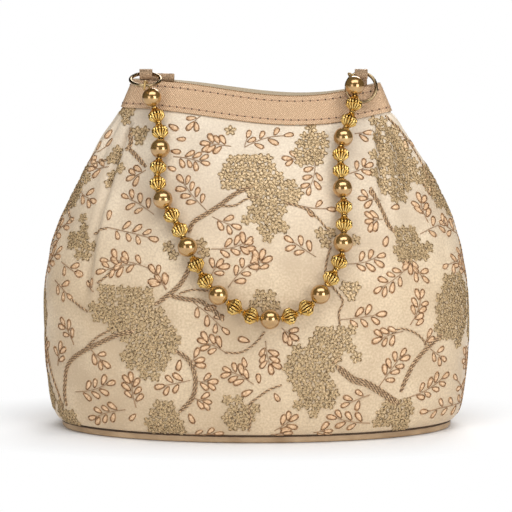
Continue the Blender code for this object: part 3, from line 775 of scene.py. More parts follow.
# Positions in millimetres across and up, as the front of the bag shows them
CLUSTERS = [
    [(-12, 143.5), (-3.5, 144.5), (6, 143.5), (9, 139), (13.5, 136), (16, 130.5), (20.5, 128.5),
     (22, 122), (15, 118), (15, 112.5), (12, 105), (4.5, 102.5), (0, 108.5), (-6.5, 113.5), (-6.5, 119),
     (-2, 122), (-8, 127), (-15.5, 129.5), (-19.5, 133.5), (-15.5, 138)],
    [(24, 155), (26.5, 156.5), (35.5, 154), (37, 150.5), (38.5, 146.5), (35.5, 141.5), (30, 140),
     (22.5, 138.5), (18, 144), (20, 148.5), (24, 149.5), (23, 153)],
    [(58, 161), (66, 161), (69.5, 157.5), (73.5, 150.5), (77, 143), (81, 138.5), (82.5, 130.5),
     (80.5, 127.5), (78.5, 124), (76.5, 119), (68.5, 120), (65.5, 124), (62, 125), (58.5, 129),
     (58, 139.5), (57.5, 153.5)],
    [(74, 109), (80, 108), (82, 103), (88.5, 95.5), (86, 90), (71.5, 90), (68, 98.5), (69.5, 104.5)],
    [(94, 80.5), (98.5, 80.5), (105.5, 79), (108, 74.5), (108.5, 55.5), (104.5, 48.5), (103, 40.5),
     (100, 51.5), (94, 51.5), (91, 50), (92, 60.5), (89, 65), (90.5, 70), (94, 70.5)],
    [(-74, 81), (-69, 80), (-65.5, 76.5), (-60, 78.5), (-53, 78.5), (-50, 74.5), (-53, 70.5), (-45, 65.5),
     (-38, 61), (-37, 55.5), (-41.5, 48), (-45, 43), (-47.5, 35), (-55, 33), (-58.5, 38), (-66, 40.5),
     (-68.5, 46.5), (-61.5, 51), (-67, 54), (-76.5, 58), (-84, 61.5), (-85, 66), (-81.5, 71.5),
     (-77.5, 75), (-79, 78)],
    [(-53, 19.5), (-46.5, 23), (-39.5, 17.5), (-35.5, 11.5), (-37, 5.5), (-56, 4.5), (-56.5, 10),
     (-51.5, 15)],
    [(-13.5, 27.5), (-8, 25.5), (-4.5, 21), (3.5, 21), (4, 15.5), (-3, 12), (-8.5, 8), (-15.5, 8.5),
     (-16, 15.5), (-17, 23)],
    [(29.5, 60.5), (35.5, 59.5), (42, 60.5), (48, 58), (49.5, 53), (53, 47), (50, 41), (44, 45),
     (36.5, 40), (40, 28.5), (39.5, 22.5), (33.5, 17), (28, 14.5), (22, 17.5), (18.5, 24.5), (16.5, 29.5),
     (12.5, 36), (13, 42), (19, 45), (20, 50.5), (24.5, 51), (27, 56.5)],
    [(48, 82), (52.5, 78.5), (51, 74), (46, 73), (41.5, 77.5), (43.5, 80)],
    [(71.5, 23.5), (77.5, 20), (78, 13.5), (80.5, 8), (76.5, 4), (67, 6), (60, 6.5), (58, 12), (63, 16),
     (65.5, 19.5)],
    [(-101.5, 17), (-96, 13), (-89, 6.5), (-89.5, 4), (-94.5, 4.5), (-103, 7)],
    [(-88.5, 110), (-83, 108), (-87.5, 103), (-81, 95.5), (-86, 90), (-94, 91.5), (-97.5, 98), (-92, 103),
     (-90, 106.5)],
    [(-64.5, 154.5), (-61, 155.5), (-55, 153), (-59.5, 147.5), (-64, 148)],
    [(-71.5, 146), (-66, 144.5), (-66.5, 139), (-69.5, 132), (-71.5, 124.5), (-74.5, 121), (-77.5, 123),
     (-74.5, 129), (-74.5, 140.5)],
    [(-70, 163), (-64, 163.5), (-64.5, 158.5), (-71, 157)],
    [(-46.5, 102), (-42, 103), (-38, 97.5), (-40, 93), (-44, 94.5)],
    [(-30.5, 104), (-24, 103), (-24, 95), (-30, 95)],
    [(29.5, 109), (39.5, 108.5), (38.5, 99.5), (30.5, 100.5)],
    [(48, 109.5), (51, 107.5), (50.5, 96), (46.5, 96.5)],
    [(-1.5, 78), (10.5, 78), (10.5, 69.5), (-1.5, 69.5)],
    [(-17.5, 158), (-7.5, 158), (-9.5, 154), (-14, 153)],
]
SPRIGS = [
    (-6, 147, 18, 152, 5), (-6, 147.5, -3.5, 154.5, 2), (22.5, 140.5, 14.5, 141.5, 3),
    (29.5, 140, 25, 125, 6), (20.5, 119.5, 39, 117.5, 3), (50, 152.5, 58, 152.5, 2),
    (46.5, 133.5, 58, 138, 5), (62.5, 120, 52, 121.5, 4), (63.5, 111, 55.5, 110, 5),
    (65.5, 115, 72, 116, 1), (87.5, 107.5, 83.5, 121, 6), (83, 102.5, 100.5, 106.5, 5),
    (106, 90, 95, 86, 5), (-8, 97.5, -2.5, 103, 3), (0, 87.5, 3, 97, 5), (29.5, 94.5, 15, 104, 5),
    (45.5, 90.5, 63.5, 95, 6), (66.5, 104.5, 65, 100.5, 1), (86, 133, 92, 122, 4),
    (73.5, 150.5, 80.5, 145.5, 2), (78, 93, 78, 85.5, 5), (76, 87, 59.5, 77, 7), (78.5, 87.5, 86.5, 80, 3),
    (77, 59, 83, 75.5, 7), (78, 57, 83.5, 60.5, 1), (73.5, 56, 59.5, 51, 6), (42, 63.5, 63.5, 65.5, 6),
    (61.5, 28.5, 74.5, 46.5, 8), (84.5, 48, 87.5, 54, 2), (87.5, 46, 96, 39, 4), (76, 21.5, 97, 31.5, 8),
    (57, 24.5, 43, 19, 4), (57, 9.5, 36.5, 14.5, 6), (106, 13, 84, 12.5, 7), (106.5, 15.5, 101, 29, 3),
    (-60.5, 89.5, -79.5, 84, 6), (-44.5, 78.5, -49.5, 84.5, 3), (-93.5, 85.5, -88.5, 81.5, 1),
    (-103, 78, -94, 70, 4), (-92.5, 47, -99.5, 58.5, 5), (-101.5, 34.5, -99.5, 46, 4),
    (-84, 46.5, -74.5, 38.5, 4), (-92, 22.5, -72.5, 30.5, 7), (-60.5, 17.5, -62.5, 34.5, 7),
    (-66, 16, -84, 9, 7), (-58.5, 16, -63.5, 10.5, 1), (-33, 33, -49.5, 29, 5), (-37.5, 46, -39, 39.5, 1),
    (-33, 41, -30, 48, 2), (-33, 41, -28, 40.5, 1), (-30.5, 33, -20.5, 33.5, 4), (-31.5, 24, -23, 22, 4),
    (-35, 17.5, -33, 13, 1), (-15.5, 47.5, -28.5, 52.5, 6), (-0.5, 52.5, -7.5, 54.5, 1),
    (-7.5, 47.5, -6, 41.5, 1), (4.5, 53.5, 8, 38, 7), (12.5, 60, 19.5, 55, 4), (-1.5, 31.5, -16.5, 39, 7),
    (2, 29, 1, 36.5, 1), (0.5, 29.5, -5.5, 26.5, 1), (8, 29, 11, 24, 1), (9, 7, 19.5, 14.5, 5),
    (-37.5, 4, -17.5, 5.5, 5), (7, 5, 17, 5.5, 3), (28.5, 5.5, 37.5, 5.5, 4), (-33, 73.5, -14.5, 57, 6),
    (-25, 117, -38.5, 132.5, 8), (-22, 114, -8.5, 109.5, 4), (-22.5, 98.5, -2.5, 103, 6),
    (-22.5, 85.5, -17, 92, 4), (-14, 80, 0.5, 94, 6), (-56, 135, -65, 131, 4), (-51.5, 114, -68, 122, 6),
    (-75.5, 106.5, -50.5, 102, 7), (-53, 88, -78.5, 90, 6), (-45, 78, -53, 88.5, 4),
    (-75.5, 135.5, -86, 134, 4), (-90.5, 122.5, -82, 119, 4), (-72.5, 155.5, -76.5, 151, 1),
    (-75.5, 107, -74.5, 114.5, 1), (-101, 98.5, -103.5, 92.5, 2), (-99.5, 87.5, -89.5, 82, 3),
    (-28.5, 161.5, -33.5, 156.5, 3), (-43, 150, -37, 150, 1), (-13, 147.5, -27, 149, 7),
    (-42, 142, -24.5, 138.5, 7), (-47, 138, -41.5, 136, 1), (-46, 158.5, -42, 156.5, 1),
    (-45, 145, -41, 144.5, 1), (-82, 75, -86, 79, 2), (36.5, 39, 39.5, 43, 1),
]
VINES = [
    (2, [(-2, 128.5), (-10.5, 125), (-17.5, 120), (-24.5, 115.5), (-31.5, 111), (-33.5, 106)]),
    (2, [(-50.5, 70.5), (-44, 75.5), (-38, 81), (-34, 88), (-33.5, 92)]),
    (2, [(-43.5, 75.5), (-36, 74), (-28, 73), (-24, 70.5), (-20, 67.5), (-16.5, 63.5)]),
    (1, [(-38.5, 76.5), (-31.5, 78.5), (-24, 78)]),
    (1, [(14.5, 120.5), (22, 118.5), (26, 116.5), (30.5, 113), (34.5, 108.5), (37.5, 105.5)]),
    (1, [(37, 99.5), (35, 93), (34, 87)]),
    (1, [(41.5, 60.5), (41, 67), (43, 72), (41, 76), (37, 80.5)]),
    (2, [(57.5, 126.5), (60.5, 120.5), (64, 113.5), (66.5, 108), (69.5, 104.5)]),
    (2, [(-61, 57), (-70.5, 54), (-79, 49.5), (-86, 45.5), (-93, 40), (-96.5, 34.5), (-97.5, 28),
         (-98, 19), (-97, 14)]),
    (1, [(-72.5, 57), (-80, 52.5), (-86, 46.5)]),
    (2, [(-40.5, 48), (-34.5, 44), (-31, 37.5), (-30.5, 30), (-32.5, 23), (-38.5, 16.5)]),
    (1, [(4, 58), (1, 54), (-3.5, 50), (-8.5, 47.5), (-15.5, 47.5)]),
    (1, [(12.5, 31), (6, 28.5), (0.5, 24.5), (-3.5, 20.5), (-3, 12), (-4, 7)]),
    (3, [(40, 40), (44.5, 36), (49, 32.5), (55, 30.5), (60.5, 27), (66.5, 22.5), (71.5, 18.5)]),
    (2, [(94, 52.5), (87.5, 47.5), (83, 43.5), (78.5, 38), (75, 31), (72.5, 25)]),
    (1, [(86, 47.5), (82.5, 52.5), (77.5, 56), (71.5, 57.5), (67.5, 54.5)]),
    (1, [(-75, 139), (-82, 137), (-89, 130.5), (-92, 124), (-96.5, 113.5), (-94.5, 107)]),
    (1, [(-82.5, 102.5), (-75.5, 106)]),
    (2, [(-64.5, 155), (-64, 148), (-66.5, 144)]),
    (1, [(-108, 47.5), (-106, 32.5), (-102, 21), (-99, 12.5)]),
    (1, [(66, 161), (73.5, 153.5), (81, 143), (88.5, 128.5)]),
    (2, [(-65.5, 145.5), (-60, 140.5), (-56, 136.5)]),
    (1, [(-94, 70), (-89, 67), (-85, 65)]),
    (1, [(1.5, 123.5), (-5, 122.5), (-10.5, 119.5), (-17, 119)]),
    (1, [(-80, 79.5), (-75.5, 83), (-72.5, 86.5)]),
]
SIDE_CLUSTERS = [
    [(-9, 48), (2, 44), (12, 52), (14, 66), (5, 74), (-7, 70), (-12, 58)],
    [(-7, 112), (4, 110), (9, 122), (5, 134), (-5, 136), (-10, 124)],
    [(4, 12), (13, 10), (17, 20), (9, 27), (2, 21)],
]
SIDE_SPRIGS = [
    (-4, 78, -15, 90, 5), (3, 80, 14, 94, 6), (-5, 28, -16, 42, 6), (5, 32, 17, 44, 5),
    (-3, 14, -14, 22, 4), (2, 98, 11, 108, 4), (-2, 100, -12, 108, 4), (0, 136, 6, 148, 3),
]
SIDE_VINES = [
    (2, [(-2, 5), (-6, 20), (-1, 36), (4, 48)]),
    (2, [(2, 72), (-3, 86), (2, 100), (0, 112)]),
    (1, [(9, 24), (4, 34), (0, 44)]),
]

# The rosette yarn's fine speckle, from nearly black to pale gold, is partly the yarn's own mottle and
# partly painted: painted shade in the gaps between fibres and painted glints of the metallic thread.
olive_yarn, tree, shader = surface("olive_gold_yarn", (0.36, 0.27, 0.14), 0.38, 0.35)
flecked(tree, shader, specks(tree, 1500.0), (0.12, 0.070, 0.026), (0.76, 0.56, 0.31), 0.38, 0.62)
petal_fill, tree, shader = surface("pale_gold_petals", (0.52, 0.43, 0.28), 0.4, 0.25)
flecked(tree, shader, specks(tree, 1100.0), (0.44, 0.31, 0.165), (0.70, 0.52, 0.31), 0.38, 0.62)
vine_yarn, tree, shader = surface("beige_vine_yarn", (0.48, 0.34, 0.19), 0.4, 0.2)
flecked(tree, shader, specks(tree, 1300.0), (0.35, 0.20, 0.095), (0.80, 0.56, 0.33))
vine_shade = plain_yarn("brown_vine_yarn", (0.16, 0.09, 0.043), (0.24, 0.14, 0.067), 0.45, 0.2)
stem_yarn = plain_yarn("brown_stem_yarn", (0.29, 0.17, 0.09), (0.43, 0.25, 0.13), 0.5, 0.1)
rose_yarn = plain_yarn("rose_outline_yarn", (0.38, 0.21, 0.10), (0.56, 0.31, 0.15), 0.45, 0.15)
peach_fill, tree, shader = surface("peach_leaf_satin", (0.80, 0.55, 0.36), 0.4)
flecked(tree, shader, specks(tree, 1000.0), (0.58, 0.35, 0.18), (0.82, 0.57, 0.35))

for view, word in ((0, "front"), (180, "back")):
    rosettes, leaves, vines = Needle(), Needle(), Needle()
    for seen_from, clusters, sprigs, plaits in ((view, CLUSTERS, SPRIGS, VINES),
                                                (view + 90, SIDE_CLUSTERS, SIDE_SPRIGS, SIDE_VINES)):
        for corners in clusters:
            stitch_cluster(rosettes, seen_from, corners)
        for x1, z1, x2, z2, count in sprigs:
            stitch_sprig(leaves, vines, seen_from, (x1, z1), (x2, z2), count)
        for strands, corners in plaits:
            stitch_vine(vines, seen_from, strands, corners)
    rosettes.sew("rosettes_" + word, "bag", "gold_thread", olive_yarn, petal_fill)
    leaves.sew("leaves_" + word, "bag", "gold_thread", rose_yarn, peach_fill)
    vines.sew("vines_" + word, "bag", "gold_thread", vine_yarn, stem_yarn,
                                     vine_shade)

# Lining. One bag of khaki cloth inside the satin, with a flat floor on the board. Its top shows as
# a thin strip behind the front band.
LINING_T = 0.0005
LINING_IN = 0.0042
LINING_OUT_AT_NECK = 0.0021
lining_levels = [SEAM_LEVEL + 0.0003, SEAM_LEVEL + 0.0076, 0.020, 0.032, 0.045]
lining_levels += [BELLY_LEVEL + (NECK_LEVEL - BELLY_LEVEL) * index / 24 for index in range(25)]
lining_levels += [NECK_LEVEL + 0.0045, MOUTH_LEVEL - 0.0016]


def base_spot(angle, inset, height):
    """Point on the base's outline, moved in along its plan."""
    side, face, column = quarter(angle)
    turn = turn_of(side, column, SEAM_LEVEL)
    along = round_way(side, face, turn, SEAM_LEVEL)
    outward = Vector((along.y, -along.x, 0.0)).normalized() * (side * face)
    spot = skin_point(side, face, turn, SEAM_LEVEL) - outward * inset
    return Vector((spot.x, spot.y, height))


def lining_spot(column, row):
    angle = column * 2.0
    level = lining_levels[row]
    if row == 0:
        return base_spot(angle, LINING_IN, level)
    near_neck = ramp(NECK_LEVEL - NECK_BLEND, NECK_LEVEL, level)
    return skin_at(angle, level, -(LINING_IN - LINING_OUT_AT_NECK * near_neck))


khaki, tree, shader = surface("khaki_twill", (0.44, 0.355, 0.24), 0.75)
relief(tree, shader, woven(tree, 0.00045), 0.00005)
lining = laid_grid("cloth_lining", 180, len(lining_levels) - 1, lining_spot, closed=True, floor=True)
give_wall(lining, LINING_T)
dressed(lining, "bag", khaki, "khaki_lining", "lining")

# Base cover. Tan leatherette glued over the edge of the stiff oval base. A dark cord of painted shadow lies
# in the crease where the satin meets it.
TRAY_T = 0.0008
TRAY_ROWS = [(0.0010, 0.0), (0.0006, 0.00012), (0.0003, 0.0003), (0.00012, 0.0006), (0.0, 0.0010),
             (0.0, 0.0022), (0.0, 0.0034)]
SEAM_HEIGHT = 0.00362
SEAM_SWAY = 0.00012
SHADOW_CORD_RADIUS = 0.00074


def tray_spot(column, row):
    inset, height = TRAY_ROWS[row]
    return base_spot(column * 1.5, inset, height)


tan, tree, shader = surface("tan_leatherette_grain", (0.36, 0.23, 0.12), 0.55)
grain = pattern(tree, "ShaderNodeTexVoronoi", scale=900.0)
flecked(tree, shader, specks(tree, 60.0, 3.0), (0.35, 0.225, 0.12), (0.51, 0.355, 0.21))
relief(tree, shader, grain.outputs["Distance"], 0.00006)
base_cover = laid_grid("leatherette_base", 240, len(TRAY_ROWS) - 1, tray_spot, closed=True, floor=True)
give_wall(base_cover, TRAY_T)
dressed(base_cover, "bag", tan, "tan_leatherette", "base_cover")

# Painted shadow: a wavy near-black cord along the crease between satin and base stands for the shade there.
crease_shadow_cord = plain_yarn("painted_crease_shadow", (0.045, 0.022, 0.009), (0.075, 0.038, 0.015), 0.7)
seam = Needle()
ring_spots, ring_normals = [], []
for index in range(721):
    angle = index * 0.5
    wave = noise.noise(Vector((angle * 0.45, 0.0, 0.0)))
    spot = base_spot(angle, 0.00015 - SEAM_SWAY * wave, SEAM_HEIGHT + SEAM_SWAY * wave)
    ring_spots.append(spot)
    ring_normals.append((spot - base_spot(angle, 0.002, SEAM_HEIGHT)).normalized())
seam.run(ring_spots, ring_normals, SHADOW_CORD_RADIUS)
seam.sew("base_seam", "bag", "tan_leatherette", crease_shadow_cord)
board_grey, tree, shader = surface("grey_pressed_board", (0.32, 0.29, 0.25), 0.9)
relief(tree, shader, specks(tree, 700.0, 4.0), 0.0001)
painted(bpy.data.objects["base_board"], board_grey)

# Bands. Rose-gold leatherette with a woven grain, one on each half of the mouth. Each is folded in
# over the lining's rim and top-stitched along both edges with pink thread.
BAND_OUT = 0.0003
BAND_T = 0.0008
BAND_HEIGHT = 0.0144
SEAM_GAP = 0.0003
LIP_IN = 0.0026
STITCH_PITCH = 0.0039
TOP_ROW = 0.0030
LOW_ROW = 0.0021
FRONT_DIP = 0.0010
STITCH_YARN = 0.00017
STITCH_RISE = 0.00016
HOLE_RADIUS = 0.00052
BAND_ROWS = [(rise, BAND_OUT) for rise in (0.0, 0.0020, 0.0048, 0.0076, 0.0104, 0.0130, BAND_HEIGHT)]
BAND_ROWS += [(BAND_HEIGHT, -0.0010), (BAND_HEIGHT, -LIP_IN)]


def band_spot(half, column, row):
    angle = (-180.0 if half < 0 else 0.0) + column * 1.5
    rise, out = BAND_ROWS[row]
    spot = skin_at(angle, NECK_LEVEL + rise, out)
    if half < 0:
        spot.z -= FRONT_DIP * rise / BAND_HEIGHT * math.sin(math.radians(angle)) ** 2
    if spot.y * half < SEAM_GAP or column in (0, 120):
        spot.y = SEAM_GAP * half
    return spot


rose, tree, shader = surface("rose_gold_leatherette", (0.56, 0.38, 0.23), 0.42, 0.25)
twill = pattern(tree, "ShaderNodeTexWave", "UV", scale=571.0, bands_direction="DIAGONAL")
weave_height = joined_values(tree, woven(tree, 0.00070), twill.outputs["Fac"])
grained = joined_values(tree, weave_height, specks(tree, 1400.0, way="UV"))
flecked(tree, shader, grained, (0.45, 0.275, 0.15), (0.92, 0.66, 0.43), 0.05, 0.62)
relief(tree, shader, specks(tree, 90.0, 3.0), 0.0002, relief(tree, shader, weave_height, 0.00010))
pink_thread = plain_yarn("pink_stitch_thread", (0.43, 0.27, 0.17), (0.57, 0.35, 0.23), 0.5)
# Painted shade: each stitch hole is a small near-black dome laid on the band, standing for the shade inside
# the hole.
stitch_hole_shade = plain_yarn("stitch_hole_shade", (0.05, 0.03, 0.017), (0.07, 0.04, 0.023), 0.8)
bpy.ops.mesh.primitive_ico_sphere_add(subdivisions=1, radius=HOLE_RADIUS)
hole = stamp_of([(shaped_copy((1.0, 1.0, 0.5), (0.0, 0.0, 0.00004), 0.0), 1)])
for half, word in ((-1, "front"), (1, "back")):
    band = laid_grid("leatherette_band_" + word, 120, len(BAND_ROWS) - 1,
                     lambda column, row: band_spot(half, column, row))
    cloth_tree = search_tree(band.data)
    give_wall(band, BAND_T, even=False)
    dressed(band, "bag", rose, "rose_leatherette", "band_" + word)
    band.data.materials.append(khaki)
    for polygon in band.data.polygons:
        distance = cloth_tree.find_nearest(polygon.center)[3]
        polygon.material_index = 1 if distance > BAND_T / 2.0 or polygon.normal.z > 0.7 else 0
    stitching = Needle()
    for height in (LOW_ROW, MOUTH_LEVEL - NECK_LEVEL - TOP_ROW):
        start_angle = -176.0 if half < 0 else 4.0
        row = [skin_at(start_angle + index * 0.5, NECK_LEVEL + height, BAND_OUT) for index in range(345)]
        row_lengths = lengths_of(row)
        stitches = int(row_lengths[-1] / STITCH_PITCH)
        ends = [point_at(row, row_lengths, row_lengths[-1] * index / stitches)
                for index in range(stitches + 1)]
        for here, there in zip(ends, ends[1:]):
            spots, facings = [], []
            for share in (0.06, 0.25, 0.5, 0.75, 0.94):
                hit, facing = on_cloth(here.lerp(there, share))
                spots.append(hit + facing * (0.00002 + STITCH_RISE * math.sin(math.pi * share)))
                facings.append(facing)
            stitching.run(spots, facings, STITCH_YARN)
            hit, facing = on_cloth(here)
            stitching.lay(hole, hit, facing, there - here)
    stitching.sew("stitching_" + word, "bag", "rose_leatherette", pink_thread, stitch_hole_shade)

# Tabs. A strap of the same leatherette is folded at each end of the mouth: its tail is sewn into
# the side seam, it bends over the rim and its rolled eye holds the ring.
TAB_X = {"left": -0.0565, "right": 0.0535}
TAB_WIDTH = 0.0065
TAB_T = 0.0010
TAB_TAIL = 0.0125
EYE_RADIUS = 0.0018
EYE_OUTER = 0.0025
AXIS = Vector((0.0, -0.0052, 0.1825277))
EYE_STEPS = 40
STRAP_BEND = math.radians(58.0)
EDGE_ROUND = 0.00018
tab_seat = AXIS.z - EYE_OUTER + 0.0002


def on_eye(radius, turn):
    """Place on a circle round the hinge's axis, seen along it."""
    return AXIS.y + radius * math.cos(turn), AXIS.z + radius * math.sin(turn)


def mend(piece):
    """Welds the points that meet and turns all faces outwards."""
    select_only(piece)
    bpy.ops.object.mode_set(mode="EDIT")
    bpy.ops.mesh.select_all(action="SELECT")
    bpy.ops.mesh.remove_doubles(threshold=WELD)
    bpy.ops.mesh.normals_make_consistent(inside=False)
    bpy.ops.object.mode_set(mode="OBJECT")


def lay_weave(piece):
    """Lays the leatherette's weave flat on the front of a strap."""
    weave = piece.data.uv_layers.new(name="weave")
    for corner in piece.data.loops:
        spot = piece.data.vertices[corner.vertex_index].co
        weave.data[corner.index].uv = (spot.x, spot.y + spot.z)


for word, x in TAB_X.items():
    low_turn = math.acos(min(1.0, (AXIS.z - tab_seat) / EYE_OUTER)) - math.pi / 2.0
    outline = [(TAB_T / 2.0, tab_seat - TAB_TAIL), (TAB_T / 2.0, tab_seat + EYE_OUTER * 0.55)]
    for index in range(EYE_STEPS + 1):
        turn = STRAP_BEND + (low_turn + 2.0 * math.pi - STRAP_BEND) * index / EYE_STEPS
        outline.append(on_eye(EYE_OUTER, turn))
    outline += [(-TAB_T / 2.0, tab_seat), (-TAB_T / 2.0, tab_seat - TAB_TAIL)]
    eye = [on_eye(EYE_RADIUS, 2.0 * math.pi * index / EYE_STEPS) for index in range(EYE_STEPS)]
    strap_curve = bpy.data.curves.new("strap_tab_" + word, "CURVE")
    strap_curve.dimensions = "2D"
    strap_curve.fill_mode = "BOTH"
    strap_curve.extrude = TAB_WIDTH / 2.0
    for loop in (outline, eye):
        spline = strap_curve.splines.new("POLY")
        spline.points.add(len(loop) - 1)
        spline.use_cyclic_u = True
        for knot, (y, z) in zip(spline.points, loop):
            knot.co = (y, z, 0.0, 1.0)
    select_only(new_object("strap_tab_" + word, strap_curve))
    bpy.ops.object.convert(target="MESH")
    tab = bpy.context.object
    tab.location = (x, 0.0, 0.0)
    tab.rotation_euler = (math.pi / 2.0, 0.0, math.pi / 2.0)
    bpy.ops.object.transform_apply(location=True, rotation=True, scale=True)
    mend(tab)
    soften = tab.modifiers.new("edge", "BEVEL")
    soften.width = EDGE_ROUND
    soften.segments = 2
    soften.limit_method = "ANGLE"
    soften.angle_limit = math.radians(60.0)
    bpy.ops.object.modifier_apply(modifier="edge")
    bpy.ops.object.shade_smooth_by_angle(angle=math.radians(40.0))
    lay_weave(tab)
    dressed(tab, "bag", rose, "rose_leatherette", "tab_" + word)

# Strap end. The left strap, of the same leatherette as the bands, runs on past its eye. Its free end
# is rolled up into a short tube that lies on the rim, behind the ring.
ROLL_PLACE = (-0.0483, 0.0012, 0.1803)
ROLL_RADIUS = 0.0023
ROLL_LENGTH = 0.0122
ROLL_T = 0.0007
ROLL_DENT = 0.00022
bpy.ops.mesh.primitive_cylinder_add(vertices=36, radius=ROLL_RADIUS, depth=ROLL_LENGTH,
                                    end_fill_type="NOTHING", location=ROLL_PLACE,
                                    rotation=(0.0, math.radians(91.5), 0.0))
roll = bpy.context.object
roll.name = "strap_end_left"
bpy.ops.object.transform_apply(location=True, rotation=True, scale=True)
bpy.ops.object.mode_set(mode="EDIT")
bpy.ops.mesh.select_all(action="SELECT")
bpy.ops.mesh.subdivide(number_cuts=5)
bpy.ops.transform.resize(value=(1.0, 0.80, 0.94), center_override=ROLL_PLACE)
bpy.ops.object.mode_set(mode="OBJECT")
for vertex in roll.data.vertices:
    vertex.co.z += ROLL_DENT * noise.noise(vertex.co * 420.0)
    vertex.co.y += ROLL_DENT * noise.noise(vertex.co * 380.0)
give_wall(roll, ROLL_T)
lay_weave(roll)
dressed(roll, "bag", rose, "rose_leatherette")

# Rings. Two round rings of antique brass wire go through the eyes of the tabs. The left one
# tips forward under the strand, the right one hangs nearly flat against the band.
RING_RADIUS = 0.0085
WIRE_RADIUS = 0.0009
RING_RISE = 0.0005
RING_TILT = {"left": 70.0, "right": 15.0}
ring_brass, tree, shader = surface("antique_brass_ring", (0.50, 0.36, 0.18), 0.24, 1.0)
flecked(tree, shader, specks(tree, 400.0, 3.0), (0.26, 0.18, 0.10), (0.54, 0.41, 0.23))
for word, x in TAB_X.items():
    turn = math.radians(RING_TILT[word])
    middle = RING_RADIUS - WIRE_RADIUS
    drop = middle - RING_RISE
    bpy.ops.mesh.primitive_torus_add(
        major_segments=72, minor_segments=16, major_radius=middle, minor_radius=WIRE_RADIUS,
        location=AXIS + Vector((x, -drop * math.sin(turn), -drop * math.cos(turn))),
        rotation=(math.pi / 2.0 - turn, 0.0, 0.0))
    ring = bpy.context.object
    ring.name = "wire_ring_" + word
    bpy.ops.object.transform_apply(location=True, rotation=True, scale=True)
    bpy.ops.object.shade_smooth()
    dressed(ring, "handle", ring_brass, "ring_metal", "ring_" + word)

# Pearls. Eleven round plastic pearls of 10 mm with a bronze-gold pearl coat, bored through.
pearl_coat, tree, shader = surface("bronze_pearl_coat", (0.48, 0.27, 0.08), 0.18, 0.75)
shader.inputs["Coat Weight"].default_value = 1.0
shader.inputs["Coat IOR"].default_value = 1.8
shader.inputs["Coat Roughness"].default_value = 0.10
flecked(tree, shader, specks(tree, 220.0), (0.44, 0.24, 0.065), (0.56, 0.33, 0.10))
bpy.ops.mesh.primitive_uv_sphere_add(segments=32, ring_count=20, radius=PEARL_RADIUS)
pearl_form = bpy.context.object
bpy.ops.object.mode_set(mode="EDIT")
for way in (1.0, -1.0):
    bpy.ops.mesh.select_all(action="SELECT")
    bpy.ops.mesh.bisect(plane_co=(0.0, 0.0, way * BORE_HALF), plane_no=(0.0, 0.0, way), clear_outer=True)
bpy.ops.mesh.select_all(action="DESELECT")
bpy.ops.object.mode_set(mode="OBJECT")
corners = pearl_form.data.vertices
for edge in pearl_form.data.edges:
    edge.select = all(abs(corners[end].co.z) > BORE_HALF - 0.00001 for end in edge.vertices)
bpy.ops.object.mode_set(mode="EDIT")
bpy.ops.mesh.select_mode(type="EDGE")
bpy.ops.mesh.bridge_edge_loops()
bpy.ops.mesh.select_all(action="SELECT")
bpy.ops.mesh.normals_make_consistent(inside=False)
bpy.ops.object.mode_set(mode="OBJECT")
bpy.ops.object.shade_smooth_by_angle(angle=math.radians(50.0))

# Lantern beads. Twenty light beads of bright gold-plated plastic, strung in pairs between the
# pearls: two ribbed cones on a belt, with a narrow collar at each end.
LANTERN_PROFILE = [
    (0.0010, 0.0044), (0.0015, 0.0044), (0.0017, 0.0042), (0.0017, 0.0039), (0.0014, 0.0037),
    (0.0018, 0.0034), (0.0025, 0.0028), (0.0033, 0.0021), (0.0039, 0.0015), (0.0042, 0.0011),
    (0.0043, 0.0008), (0.0041, 0.0005), (0.0042, 0.0), (0.0041, -0.0005), (0.0043, -0.0008),
    (0.0042, -0.0011), (0.0039, -0.0015), (0.0033, -0.0021), (0.0025, -0.0028), (0.0018, -0.0034),
    (0.0014, -0.0037), (0.0017, -0.0039), (0.0017, -0.0042), (0.0015, -0.0044), (0.0010, -0.0044),
    (0.0010, 0.0044),
]
LANTERN_RIBS = 14
LANTERN_STEPS = 112
RIB_DEPTH = 0.00085


def lantern_spot(column, row):
    radius, height = LANTERN_PROFILE[len(LANTERN_PROFILE) - 1 - row]
    share = max(0.0, min(1.0, (radius - 0.0018) / 0.0012)) if abs(height) < 0.0036 else 0.0
    rib = 1.0 - abs(math.cos(math.pi * column * LANTERN_RIBS / LANTERN_STEPS))
    radius -= RIB_DEPTH * share * rib
    angle = 2.0 * math.pi * column / LANTERN_STEPS
    return Vector((radius * math.cos(angle), radius * math.sin(angle), height))


lantern_form = laid_grid("lantern_form", LANTERN_STEPS, len(LANTERN_PROFILE) - 1, lantern_spot,
                         closed=True)
plated_gold, tree, shader = surface("bright_gold_plate", (0.78, 0.52, 0.16), 0.18, 1.0)
rib_pitch = max(spot.uv.x for spot in lantern_form.data.uv_layers[0].data) / LANTERN_RIBS
# Painted shade: the grooves between the ribs are darkened almost to black in the plate's colour.
grooves = pattern(tree, "ShaderNodeTexWave", "UV", scale=math.pi / (10.0 * rib_pitch), bands_direction="X")
groove_shade = blend_colors(tree, grooves.outputs["Fac"], (1.0, 1.0, 1.0), (0.14, 0.08, 0.03), 0.55, 0.92)
plate = blend_colors(tree, specks(tree, 500.0), (0.66, 0.39, 0.09), (0.88, 0.64, 0.24))
tree.links.new(mixed_colors(tree, plate, groove_shade, how="MULTIPLY"), shader.inputs["Base Color"])
mend(lantern_form)
bpy.ops.object.shade_smooth_by_angle(angle=math.radians(35.0))

